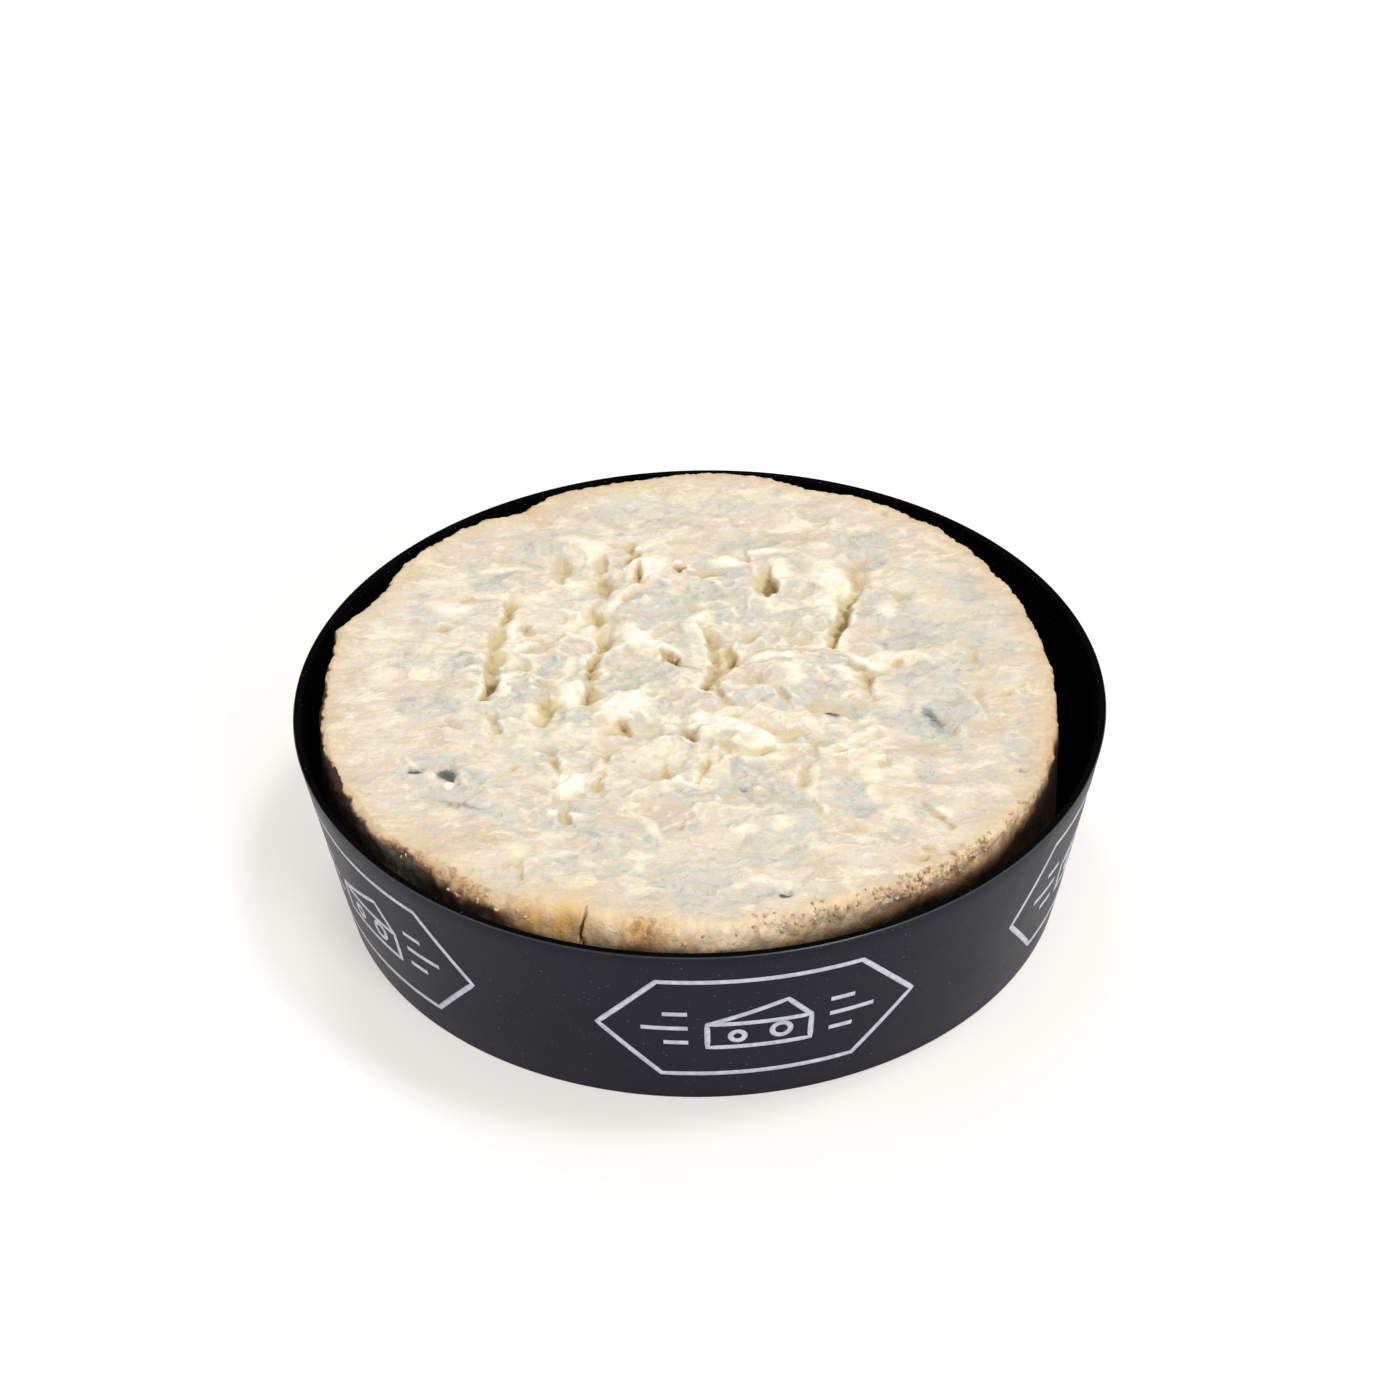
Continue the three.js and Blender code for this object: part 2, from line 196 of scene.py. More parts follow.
# Grooves that the piercing needles left, torn open by the wire: x, y, width, depth at each point.
grooves = [
    [(-73, 62, 4, 1.5), (-73.5, 57, 5, 4), (-75.5, 47, 4, 3.6), (-78.5, 40, 5, 2.4), (-79, 28, 8, 2.2),
     (-79.5, 19, 9, 3.6), (-79.5, 10, 5, 4.6), (-80, 3, 4, 8), (-82.5, -5, 2.5, 4)],
    [(-79, -12, 4, 2), (-77.5, -20, 3, 3.5), (-75.5, -25, 3, 3)],
    [(-38, 91, 4, 1.5), (-37.5, 86, 4.5, 3.2), (-38.5, 78, 5, 2)],
    [(-38.5, 76, 8, 2), (-37, 70, 9, 4), (-36, 62, 5, 2.2)],
    [(-41, 57, 4, 1.5), (-39, 48, 5, 3.2), (-37, 40, 8, 2), (-35, 32, 8, 3.4), (-38.5, 25, 4, 4.5),
     (-41.5, 18, 4, 6), (-42.5, 9, 5.5, 3.5), (-42, 1, 4.5, 5), (-42.5, -6, 4, 4)],
    [(-26, 101, 4, 1.5), (-26.5, 96, 4, 3.2), (-26, 92, 3, 2)],
    [(-23.5, 92, 3, 3), (-24, 88, 4, 4), (-27.5, 84, 4, 4.5)],
    [(-24, 81, 3, 3), (-23, 74, 4, 5), (-24, 70, 3, 2)],
    [(-26, 63, 4, 2), (-28, 59, 4, 2.2)],
    [(-8.5, 79, 3, 4), (-6.5, 77, 3.5, 6), (-6.5, 74, 2, 2.5)],
    [(-3, 75.5, 3, 2), (3, 74.5, 4.5, 4.5), (10, 75.5, 4, 2)],
    [(28.5, 79, 4, 2), (28, 72, 6.5, 6), (28, 65, 8, 8), (27, 61, 5, 4.5)],
    [(67, 87, 7, 1), (63, 79, 9, 2.2), (64, 68, 6, 3)],
    [(64.5, 66, 5, 2.5), (60.5, 57, 4, 5), (57.5, 47, 5, 5.8), (55.5, 39, 5.5, 7.4), (53.5, 31, 4, 6),
     (52, 25, 3, 3)],
    [(53, 15, 4, 1.2), (60, 14, 5, 2.4), (64.5, 9, 6, 4), (65, 2, 6, 3.6), (64, -5, 4, 2)],
    [(60, -6.5, 2.5, 1.5), (69, -7, 2.5, 1.5)],
    [(1, 42, 3, 2), (3, 36, 5, 3), (6, 28, 8, 4), (8, 18, 8, 3.6), (5, 7, 6, 5.5), (2.5, 0, 5, 6.5)],
    [(10, 29, 3, 2), (12.5, 22, 4, 5), (14, 14, 3.5, 5.5)],
    [(6, 1, 4, 4), (8, -4, 3.5, 4), (11, -12, 2.5, 2)],
    [(-13.5, 24.5, 3, 4), (-10.5, 20, 4.2, 5.8), (-7, 15, 2.6, 2.4)],
    [(-68, 43, 4, 3), (-66, 38, 3.5, 2.6)],
    [(-67, 26, 4, 2.4), (-62, 28.5, 5, 3.4), (-57, 33, 4, 2)],
    [(-59.5, 5, 4, 1.5), (-59, -4, 5, 2.6), (-58.5, -11, 6.5, 4.6), (-60, -18, 5, 3)],
    [(-30.5, -21.5, 3, 3), (-28.5, -24, 4, 5.5), (-26.5, -25.5, 2.5, 3)],
    [(-6.5, -27, 3.5, 4), (-5, -30.5, 4.5, 7), (-2.5, -33, 3, 4)],
    [(-50, -70, 4, 1.8), (-50.5, -75, 3.4, 4), (-49.5, -79, 3, 3.2)],
    [(-14, -45, 2, 2), (-12.5, -52, 2.6, 3.2), (-11.5, -58, 1.8, 1.6)],
    [(-34.5, -40, 3, 2.5), (-34.5, -44, 3, 2.8)],
    [(-36.5, -50, 2.4, 2.2), (-38.8, -59, 2.6, 2.6)],
    [(-56.5, -36, 4, 1.5), (-54.5, -43, 3.5, 3.2), (-52.5, -52, 2.5, 1.5)],
    [(2.5, -43, 2, 1.8), (1, -49, 2.8, 2.6), (-2, -57, 2, 1.4)],
    [(81.5, -75, 2.4, 1.8), (87, -81, 3.2, 3.2), (91.5, -88, 2.6, 2.6)],
    [(88.5, -13, 2, 1.0), (92, -21, 5, 2.4), (95, -28, 4, 2.0)],
    [(-109, -47, 3, 1.6), (-105.5, -47, 5, 2.8)],
    [(-96, -46, 4, 1.4), (-94, -49, 6.5, 2.4), (-91, -54, 3, 1.6)],
    [(-102, -64, 2.5, 0.8), (-92, -67, 3.5, 1.6), (-84, -74, 2, 0.8)],
    [(-94, 47, 4, 1.6), (-99.5, 42, 5, 3.4)],
    [(-55, 88, 5, 1.5), (-53, 81, 7, 3), (-53, 76, 4, 2)],
    [(30.5, -4, 3, 2), (32.5, -9, 3.8, 4), (34, -14, 2, 1.5)],
    [(47, -16.8, 1.4, 0.5), (50.5, -17, 1.6, 0.7), (55, -16.4, 1.2, 0.4)],
    [(105, -2, 4, 1.4), (106, -9, 3, 2.2), (110, -20, 2.6, 1.6), (112, -27, 2, 1)],
    [(106, 24, 3, 1), (105.5, 16, 4.5, 2.4), (107, 10, 3, 1.4)],
    [(19, 90, 3.5, 1.6), (20, 85, 4, 2.4)],
    [(23, 37, 3, 1.4), (20, 33, 4, 2.2)],
    [(77, 63, 4, 1.6), (80, 58, 7, 2.4), (82, 52, 4, 1.4)],
    [(4, -35.5, 3, 1.6), (12, -38.3, 4, 3), (20, -40, 2.5, 1.4), (26, -38.6, 3.6, 2.8), (30, -38.6, 2, 1.2)],
    [(44, -31, 3, 1.4), (42.5, -38, 3.4, 1.8), (42, -48, 3.4, 1.6)],
    [(52, -47, 6, 1.4), (55, -54, 7, 1.6)],
    [(39, -53, 4, 1.8), (37, -60, 5, 2.4)],
    [(41, -71, 2.5, 1.6), (44.5, -80, 3, 2)],
    [(-4.5, -76, 2.6, 1.4), (-7.5, -83, 3, 2.4)],
    [(-70, -101, 5, 1.6), (-66.5, -103, 3.6, 2.4), (-66, -111, 2.2, 1.8)],
    [(-97, -21, 4, 1.6), (-92.5, -22.5, 4, 3)],
    [(27.5, -121, 2, 1.4), (30.5, -122.5, 2.6, 2.8)],
    [(-62, 36, 3, 1.4), (-61, 31, 3, 1.8)],
]
# Small pits: x, y, width, depth.
pits = [
    (-50, 50, 4, 2.4), (-88, 21, 3, 2.2), (-88, 52, 4, 1.6), (-91.5, 64, 4, 2), (-70, -45, 3, 2.6),
    (77, 18, 3.6, 3), (82, -97, 4.2, 3.4), (79, -103, 3.4, 3.4), (72, -93, 4, 1.8), (117, -3.5, 3, 2),
    (68, -47.5, 4, 2.2), (42, 36, 4, 1.8), (34.5, 43, 3.6, 2), (-78, -86, 5, 2.2), (16.5, -61.5, 4, 2.4),
    (21, -69, 3.5, 2), (-46.5, 93, 2.6, 2), (61, 97, 3.6, 1.6), (62, 103, 3.4, 1.6), (-10, 41, 3.4, 1.8),
    (118.5, -53, 3, 2.4), (-26.5, 26, 3.4, 1.4), (-68, 14, 3, 1.6), (-58, 7.5, 4, 1.6), (-28, -62, 3, 1.6),
    (43, -13.5, 2.4, 0.8), (78, -12, 4, 1.4), (-48, -88, 4, 1.4), (55, -86, 5, 1.4), (97, 20, 3, 1.6),
]
# The split in the rind at the front.
rindSplit = {"bearing": -106.5, "height": 34.0, "width": 1.5, "depth": 1.7, "drop": 12.0}


def outlineRadius(bearing):
    radius = cheese["radius"] - cheese["stretch"] * np.cos(np.radians(2 * bearing))
    for middle, spread, height in rindBumps:
        radius += height * bell(apart(bearing, middle) / spread)
    return radius


def edgeRounding(bearing):
    return cheese["edgeRounding"] + cheese["frontRounding"] * bell(apart(bearing, -105) / 55)


# Length along the rind, which the noises round it read.
def arcAt(bearing):
    return np.radians(bearing) * cheese["radius"]


def pointAt(bearing, radius):
    cx, cy = cheese["centre"]
    return cx + radius * np.cos(np.radians(bearing)), cy + radius * np.sin(np.radians(bearing))


# The rind's fine ragged edge, the same at every height so that it stays one cut.
def raggedEdge(bearing):
    around = arcAt(bearing)
    flat = 0 * around
    ragged = 0.55 * noise(around, flat, 14, 301) + 0.55 * noise(around, flat + 9, 5.5, 302)
    teeth = 0.5 * noise(around, flat + 3, 2.6, 303)
    teeth += 0.55 * np.abs(noise(around, flat + 5, 1.9, 304)) - 0.17
    ragged *= 1 - 0.5 * bell(apart(bearing, -158) / 18)
    return ragged + teeth * (1 - 0.85 * bell(apart(bearing, -125) / 75))


# The cut face is worked out on a square grid, which the mesh then reads.
faceGrid = {"reach": 152.0, "step": 0.5}


def gridPoints():
    count = int(2 * faceGrid["reach"] / faceGrid["step"]) + 1
    line = np.linspace(-faceGrid["reach"], faceGrid["reach"], count)
    return np.meshgrid(line, line)


def sampled(field, x, y):
    last = field.shape[0] - 1.001
    column = np.clip((x + faceGrid["reach"]) / faceGrid["step"], 0, last)
    row = np.clip((y + faceGrid["reach"]) / faceGrid["step"], 0, last)
    c, r = column.astype(int), row.astype(int)
    across, up = column - c, row - r
    low = field[r, c] * (1 - across) + field[r, c + 1] * across
    high = field[r + 1, c] * (1 - across) + field[r + 1, c + 1] * across
    return low * (1 - up) + high * up


# A box blur over this many millimetres, twice in each direction.
def blurred(field, size):
    half = max(1, round(size / faceGrid["step"] / 2))
    for axis in (0, 1, 0, 1):
        margin = [(half + 1, half) if side == axis else (0, 0) for side in (0, 1)]
        total = np.cumsum(np.pad(field, margin, mode="edge"), axis=axis)
        ends = np.take(total, np.arange(2 * half + 1, total.shape[axis]), axis)
        starts = np.take(total, np.arange(0, total.shape[axis] - 2 * half - 1), axis)
        field = (ends - starts) / (2 * half + 1)
    return field


def smoothFace(x, y):
    height = np.full_like(x, cheese["faceHeight"])
    rough = 0.45 + 0.9 * bell(np.hypot(x, y) / 95)
    for length, swell, bearing, phase in swells:
        along = x * math.cos(math.radians(bearing)) + y * math.sin(math.radians(bearing))
        height += rough * swell * np.sin(2 * np.pi * along / length + phase)
    for mound in mounds:
        along, across = alongAcross(mound, x, y)
        height += mound[5] * bell(along) * bell(across)
    return height


# Where the paste is torn, from 0 on the smeared outer ring to 1 in the middle.
def tornShare(x, y):
    cx, cy = cheese["tornMiddle"]
    middle = bell(np.hypot(x - cx, y - cy) / cheese["tornRadius"])
    return smoothStep(0.15, 0.85, 1.15 * middle + 0.45 * layeredNoise(x, y, 40, 17, 2))


# Torn layers of paste: flakes at different levels with crags between them, fine streaks and soft lumps.
def tornLayers(x, y):
    wx, wy = wandered(x, y, 22, 3.5, 14, 1.3, 5)
    flakes = smoothStep(-0.2, 0.2, layeredNoise(wx * 0.75, wy, 17, 31, 3))
    flakes += 0.65 * smoothStep(-0.15, 0.2, layeredNoise(wx * 0.7, wy, 8.5, 35, 2))
    flakes += 0.2 * smoothStep(-0.1, 0.2, noise(wx * 0.8, wy, 4.4, 38))
    drag = layeredNoise(wx * 0.3, wy, 4.2, 42, 2)
    smear = layeredNoise(wx * 0.6, wy, 15, 45, 3)
    return flakes, drag, smear


# Deepens a field along a chain of points, to a width and a depth that change on the way.
# One wall is steep. The other, on the side that lean gives, is a long soft slope.
def carve(field, chain, x, y, lean):
    reach, step = faceGrid["reach"], faceGrid["step"]
    for start, end in zip(chain, chain[1:]):
        margin = max(start[2], end[2]) * 2.2 + 5
        rows, columns = [
            slice(max(0, int((min(start[axis], end[axis]) - margin + reach) / step)),
                  int((max(start[axis], end[axis]) + margin + reach) / step) + 1)
            for axis in (1, 0)
        ]
        px, py = x[rows, columns], y[rows, columns]
        dx, dy = end[0] - start[0], end[1] - start[1]
        share = np.clip(((px - start[0]) * dx + (py - start[1]) * dy) / (dx * dx + dy * dy), 0, 1)
        away = np.hypot(px - start[0] - share * dx, py - start[1] - share * dy)
        width = start[2] + (end[2] - start[2]) * share
        depth = start[3] + (end[3] - start[3]) * share
        across = (dx * (py - start[1]) - dy * (px - start[0])) / math.hypot(dx, dy)
        beyond = np.sqrt(np.clip(away ** 2 - across ** 2, 0, None)) / width
        side = 2 * lean * across / width
        wedge = np.clip(np.minimum((side + 1.1) / 0.8, (2.0 - side) / 2.3), 0, 1)
        cut = depth * wedge ** 1.25 * np.clip(1 - 2 * beyond ** 2, 0, 1)
        field[rows, columns] = np.maximum(field[rows, columns], cut)


# Height, colour masks and depth of the grooves, each as a grid.
def makeFace():
    x, y = gridPoints()
    torn = tornShare(x, y)
    flakes, drag, smear = tornLayers(x, y)
    wx, wy = wandered(x, y, 71, 1.1, 9, 0.8, 3.6)
    groove = np.zeros_like(x)
    for index, listed in enumerate(grooves):
        # the list gives where their bottoms show from the front
        chain = [(px, py + 0.45 * depth, width, depth) for px, py, width, depth in listed]
        carve(groove, chain, wx, wy, -1 if index % 4 else 1)
    for px, py, width, depth in pits:
        carve(groove, [(px - 0.4, py, width, depth), (px + 0.4, py, width, depth)], wx, wy, -1)
    uneven = 0.6 + 0.5 * smoothStep(-0.5, 0.2, layeredNoise(x, y, 7, 76, 3))
    groove *= cheese["grooveDepth"] * uneven
    lip = np.clip(blurred(groove, 6) - groove, 0, 1) * smoothStep(-0.25, 0.4, noise(x, y, 8, 78))

    cream = paintAreas(creamLumps, x, y, 3.5)
    ridge = bell(layeredNoise(x * 0.6, y, 19, 51, 3) / 0.1)
    ridge *= smoothStep(0.0, 0.5, noise(x, y, 27, 55) + 0.35)
    fineRidge = bell(layeredNoise(wx * 0.7, wy, 10, 57, 3) / 0.09)
    fineRidge *= smoothStep(-0.2, 0.3, noise(x, y, 16, 59))
    ridge = np.maximum(ridge, 0.8 * fineRidge)
    cream = cream + 0.7 * ridge * (0.25 + 0.75 * torn)
    cream = cream + 0.35 * layeredNoise(x * 0.5, y, 7, 56, 2) + 0.35 * lip
    cream = np.clip(cream + 0.5 * torn * smear - 0.1, 0, 1.3) * (1 - 0.7 * smoothStep(0.6, 2.4, groove))
    patches = paintAreas(veinPatches, x, y, 13)
    broken = 0.85 * layeredNoise(x * 0.7, y, 13, 81, 4) + 0.3 * noise(x * 0.6, y, 4.5, 85)
    veil = smoothStep(0.0, 0.6, layeredNoise(x * 0.7, y, 31, 87, 4) + 0.25 * torn)
    mould = smoothStep(0.0, 0.8, patches + broken) + 0.55 * veil
    mould = np.clip(mould, 0, 1) * (1 - 0.75 * np.clip(cream, 0, 1))

    height = smoothFace(x, y)
    height += cheese["tornHeight"] * torn * (flakes - 0.9) * (1 - 0.35 * mould)
    height += cheese["smearHeight"] * smear * (0.4 + 0.6 * torn)
    height += cheese["dragHeight"] * drag * (1.3 - 0.6 * torn)
    height += 0.4 * np.clip(cream, 0, 1) * (0.35 + 0.65 * torn) + cheese["lipHeight"] * lip
    height += mould * (0.3 * noise(x, y, 3.1, 91) - 0.25)
    height = softMinimum(height, cheese["faceHeight"] + cheese["tallest"], 1.5) - groove
    loose = 0.2 + 0.8 * smoothStep(0, 1.6, groove + 1.3 * torn)
    height += cheese["crumble"] * layeredNoise(x * 0.8, y, 5.2, 95, 3) * loose
    # crest and valley drive the material's painted highlight on crests and painted shade in hollows
    crest = height - blurred(height, 4.5)
    valley = blurred(height, 3) - blurred(height, 13)
    spots = paintAreas(darkSpots, x, y, 1.5)
    return {"height": height, "mould": mould, "cream": cream, "crest": crest, "valley": valley,
            "groove": groove, "spots": spots, "warm": paintAreas(warmPatches, x, y, 6)}


# Soft-edged areas of grey-blue mould on the face: x, y, length, width, turn, strength. The dark spots,
# the browner areas and the lumps of cream are listed in the same way.
veinPatches = [
    (-2, 55, 48, 28, 0, 1.0), (-20, 44, 14, 16, 0, 0.9), (-18, 12, 32, 34, 0, 1.0),
    (42, -6, 54, 16, 4, 0.9), (60, 9, 60, 12, 0, 0.8), (102, 12, 34, 26, 0, 0.5), (66, -14, 40, 10, 0, 0.6),
    (30, 9, 24, 9, 0, 0.8), (75, 38, 14, 34, 0, 1.0), (92, 36, 28, 18, 10, 0.9), (91, 5, 24, 30, 5, 1.0),
    (94, -15, 18, 24, 0, 0.8), (86, -22, 17, 20, 10, 1.4), (68, 94, 16, 22, 0, 0.8),
    (64, 83, 14, 10, 0, 0.8), (28, 98, 16, 14, 0, 0.8), (20, 76, 12, 12, 0, 0.7), (42, 78, 12, 12, 0, 0.7),
    (-79, 77, 20, 12, 8, 1.0), (-62, 76, 18, 12, 0, 0.8), (-66, 92, 14, 8, 0, 0.6),
    (-92, 19, 18, 26, 0, 0.9), (-103, -4, 16, 14, 0, 0.8), (-90, -66, 44, 18, -24, 1.0),
    (-84, -48, 24, 12, 0, 0.8), (-106, -40, 16, 10, 0, 0.7), (-76, -73, 20, 12, 0, 0.8),
    (20, -60, 30, 24, 0, 1.0), (4, -63, 16, 18, 0, 0.8), (55, -73, 14, 20, 0, 1.0),
    (39, -88, 10, 18, 0, 0.8), (96, -50, 18, 24, 0, 0.6), (-31, -96, 24, 28, 0, 0.9),
    (-43, -79, 16, 10, 0, 0.7), (-9, -69, 18, 16, 0, 0.7), (-7, -119, 20, 24, 10, 1.8),
    (28, -104, 18, 14, 0, 0.8), (118, -48, 8, 13, 0, 1.0), (-70, 6, 12, 20, 0, 0.5),
    (108, 62, 18, 14, 0, 0.5), (-30, 116, 30, 10, 0, 0.5), (-12, 90, 12, 8, 0, 0.6),
    (-36, 104, 22, 8, 0, 0.5), (60, 112, 24, 12, -10, 0.4), (-51, -104, 16, 14, 0, 0.8),
    (-62, -33, 16, 10, 0, 0.8), (82, 50, 22, 14, 0, 0.5), (45, -13, 18, 6, 0, 1.0),
    (26, -116, 14, 10, 0, 0.6), (-108, 62, 16, 12, 0, 0.5), (70, -84, 16, 10, 0, 0.4),
]
# The long dark spot at (88.8, -20) is painted shadow along the slot's steep right wall.
darkSpots = [
    (-106.5, -47, 6, 5, 0, 1.3), (-94.5, -49.5, 8, 7, 30, 1.2), (-90, -55, 3, 3, 0, 0.7),
    (-89, -67, 28, 4, -26, 0.7), (29, -122.5, 5, 3, -20, 1.6), (23.5, -121, 2.5, 2, 0, 0.8),
    (77, 117, 4, 3, 0, 0.9), (118, -53, 3, 3, 0, 0.9), (121, -24, 3, 3, 0, 0.6), (-88, 21, 3, 4, 0, 0.5),
    (-29, -88, 3, 4, 0, 0.6), (-29, -98, 3, 4, 0, 0.4), (72, 30, 5, 8, 0, 0.6),
    (88.8, -20, 6.5, 18, 24, 0.9), (84, -19, 13, 18, 0, 0.42), (16.5, -61, 4, 4, 0, 0.8),
    (25, -60, 3, 12, 10, 0.5), (21, -71, 8, 2.4, 0, 0.6), (22, -51, 3, 4, 0, 0.6),
    (50.5, -14.4, 7.5, 3.2, 0, 1.1), (-8, -119, 6, 9, 0, 0.4), (-19, 45, 5, 7, 30, 0.3),
    (35, 43, 3, 7, 0, 0.3), (-21, 5, 6, 8, 60, 0.3),
]
warmPatches = [
    (110, 12, 12, 42, 0, 0.8), (-57, 95, 12, 16, 0, 0.7), (104, 64, 26, 24, 0, 0.5),
    (-22, 70, 14, 12, 0, 0.5), (50, 20, 8, 16, 0, 0.5), (-104, -90, 20, 24, 45, 0.9),
    (112, -22, 10, 44, 8, 0.6), (84, -76, 14, 12, 0, 0.7), (-60, 0, 10, 20, 0, 0.4),
]
creamLumps = [
    (-78, 84, 18, 4, 4, 1.0), (-50, 72, 18, 5, -14, 0.9), (-49, 101, 18, 9, -20, 0.9),
    (-42, 95, 12, 6, 0, 0.7), (-18, 79, 12, 18, 0, 1.4), (-72, 38, 6, 18, 0, 1.0), (-72, 26, 6, 12, 0, 0.8),
    (-96, 57, 16, 11, -20, 1.0), (-33, 58, 20, 6, 52, 0.8), (-22, 34, 24, 8, -42, 1.1),
    (-34, 15, 9, 7, 0, 0.8), (-46, 44, 9, 16, 0, 0.8), (-30, -9, 16, 13, 0, 1.3), (-49, -4, 6, 14, 0, 0.9),
    (-53, -24, 9, 9, 0, 0.8), (-66, 62, 20, 6, -10, 0.6), (-48, -58, 9, 14, 0, 1.1),
    (-37, -45, 5, 8, 0, 0.7), (-17, -17, 14, 6, -20, 0.4), (11, -25, 26, 9, -22, 1.3),
    (25, -34, 14, 9, 0, 0.9), (11, 84, 16, 6, 0, 1.0), (30, 90, 18, 6, 0, 0.9), (34, 78, 6, 14, 10, 0.9),
    (52, 74, 12, 18, 20, 1.0), (51, 54, 10, 16, 20, 0.8), (59, 67, 4, 16, 0, 0.8), (47, 96, 14, 7, 0, 0.7),
    (65, 17, 20, 6, -38, 1.0), (57, 26, 6, 16, 0, 0.8), (26, 19, 22, 6, 0, 0.9), (0, 46, 8, 14, 0, 0.8),
    (13, 51, 10, 3, -50, 0.7), (-19, 57, 8, 4, 20, 0.6), (74, 53, 6, 12, 10, 0.7),
    (73, 39, 3, 12, -20, 0.5), (41, -24, 14, 4, -35, 0.4), (50, -40, 14, 11, 0, 0.9),
    (4, -29, 10, 6, -20, 0.9), (-10, -40, 14, 8, 0, 0.6), (65, -54, 8, 8, 0, 0.6),
    (76, -53, 8, 11, 0, 0.55), (64, -67, 5, 8, 0, 0.8), (42, -61, 4, 22, -6, 0.6),
    (45, -76, 3, 14, -20, 0.6), (-107, -42, 10, 2.6, -55, 0.6), (-94, -56, 4, 4, 0, 1.0),
    (-95, -73, 12, 7, 0, 0.7), (-56, -87, 10, 8, 0, 0.6), (-55, -74, 4, 3, 0, 0.6),
    (-45, -74, 4, 3, 0, 0.6), (-19, -84, 4, 16, 20, 0.7), (-68, -96, 12, 8, 0, 0.6),
    (31, -84, 8, 6, 0, 0.6), (16, -87, 12, 5, 0, 0.5), (43, -96, 10, 6, -40, 0.7),
    (87, -63, 10, 4, -30, 0.6), (85, -13, 12, 3, 50, 0.6), (90, -78, 12, 3, -50, 0.4),
    (117, -46, 4, 4, 0, 0.6), (-38, -106, 14, 5, -50, 0.5), (-105, 104, 20, 8, 30, 0.6),
    (95, 95, 20, 5, -44, 0.6), (-62, -12, 5, 16, 0, 0.5), (8, -48, 6, 8, 0, 0.4), (28, -48, 10, 3, 20, 0.6),
    (-100, 78, 20, 5, 8, 0.5), (-20, 98, 8, 4, 0, 0.7), (76, 22, 14, 5, 10, 0.7), (48, 27, 20, 8, 0, 0.9),
    (-50, 18, 6, 14, 0, 0.7), (-73, 7, 5, 16, 0, 0.8), (-90, -12, 12, 8, 0, 0.5), (-35, 13, 8, 10, 0, 0.7),
    (-121, 18, 12, 30, 0, 0.5), (-18, -38, 36, 14, 0, 0.45),
]


# The areas' own edges wander by up to the given length.
def paintAreas(areas, x, y, wander):
    paint = np.zeros_like(x)
    wx = x + wander * layeredNoise(x, y, 22, 61, 3)
    wy = y + wander * layeredNoise(x, y, 22, 65, 3)
    for area in areas:
        along, across = alongAcross(area, wx, wy)
        paint = np.maximum(paint, area[5] * bell(np.sqrt(along ** 2 + across ** 2) ** 1.4 * 0.85))
    return paint


# Tones round the rind: bearing, spread, strength. The reach is how far down the pale rind goes, in mm,
# before it turns brown and then near black, partly its own colour and partly painted shade.
rindTones = {
    "rindReachBeforeShade": [(-107, 10.5, 18.0), (-127, 9, 4.8), (-145, 10, 2.4), (-78, 26, 14.5), (-46, 24, 9.8),
                  (-22, 22, 5.6), (60, 80, 1.6), (160, 60, 1.3)],
    "rindOrange": [(-109, 3.5, 1.0), (-114, 4, 0.8), (-98, 4, 0.8), (-128, 10, 0.5), (-44, 10, 0.2),
                   (-10, 20, 0.3), (112, 10, 0.3)],
    "rindCrumbly": [(-128, 11, 0.7), (-72, 18, 0.8), (-55, 15, 1.2), (-92, 12, 0.3), (-34, 9, 0.6)],
    "rindMoss": [(-139, 6, 1.0), (-150, 10, 0.4), (-107, 2.5, 0.4), (-68, 5, 0.25)],
}


def roundThe(places, bearing):
    paint = np.zeros_like(bearing)
    for middle, spread, strength in places:
        paint = np.maximum(paint, strength * bell(apart(bearing, middle) / spread))
    return paint


def roomInTub(bearing, z):
    inner = footRadius - tub["wall"] + wallSlope * z
    cx, cy = cheese["centre"]
    along = cx * np.cos(np.radians(bearing)) + cy * np.sin(np.radians(bearing))
    offset = cx * cx + cy * cy
    return np.sqrt(inner * inner - offset + along * along) - along - cheese["clearance"]


def sideRadius(bearing, z):
    share = np.clip((z - cheeseFoot) / (cheese["faceHeight"] - cheeseFoot), 0, 1)
    free = outlineRadius(bearing) + cheese["bellyBulge"] * np.sin(np.pi * share)
    around = arcAt(bearing)
    free += 0.9 * layeredNoise(around, z * 1.2, 13, 51, 3) + 0.35 * noise(around, z, 3.2, 61)
    short = np.clip(cheese["footRounding"] - (z - cheeseFoot), 0, cheese["footRounding"])
    tuck = cheese["footRounding"] - np.sqrt(cheese["footRounding"] ** 2 - short ** 2)
    return softMinimum(free, roomInTub(bearing, z) - tuck, cheese["wallBlend"])


def splitDepth(bearing, z):
    offset = arcAt(apart(bearing, rindSplit["bearing"]))
    across = 2 * (offset + 0.7 * np.sin(z * 0.45)) / rindSplit["width"]
    along = 2 * (z - (cheese["faceHeight"] - rindSplit["drop"])) / rindSplit["height"]
    return rindSplit["depth"] * np.clip(1 - across ** 2 - along ** 2, 0, 1) ** 0.7


def facePoints():
    rings = cheese["rings"]
    points = [np.array([cheese["centre"]])]
    for k in range(1, rings + 1):
        bearing = 360 * np.arange(8 * k) / (8 * k)
        edge = outlineRadius(bearing) + raggedEdge(bearing) - edgeRounding(bearing)
        points.append(np.stack(pointAt(bearing, k / rings * edge), 1))
    return np.concatenate(points).T


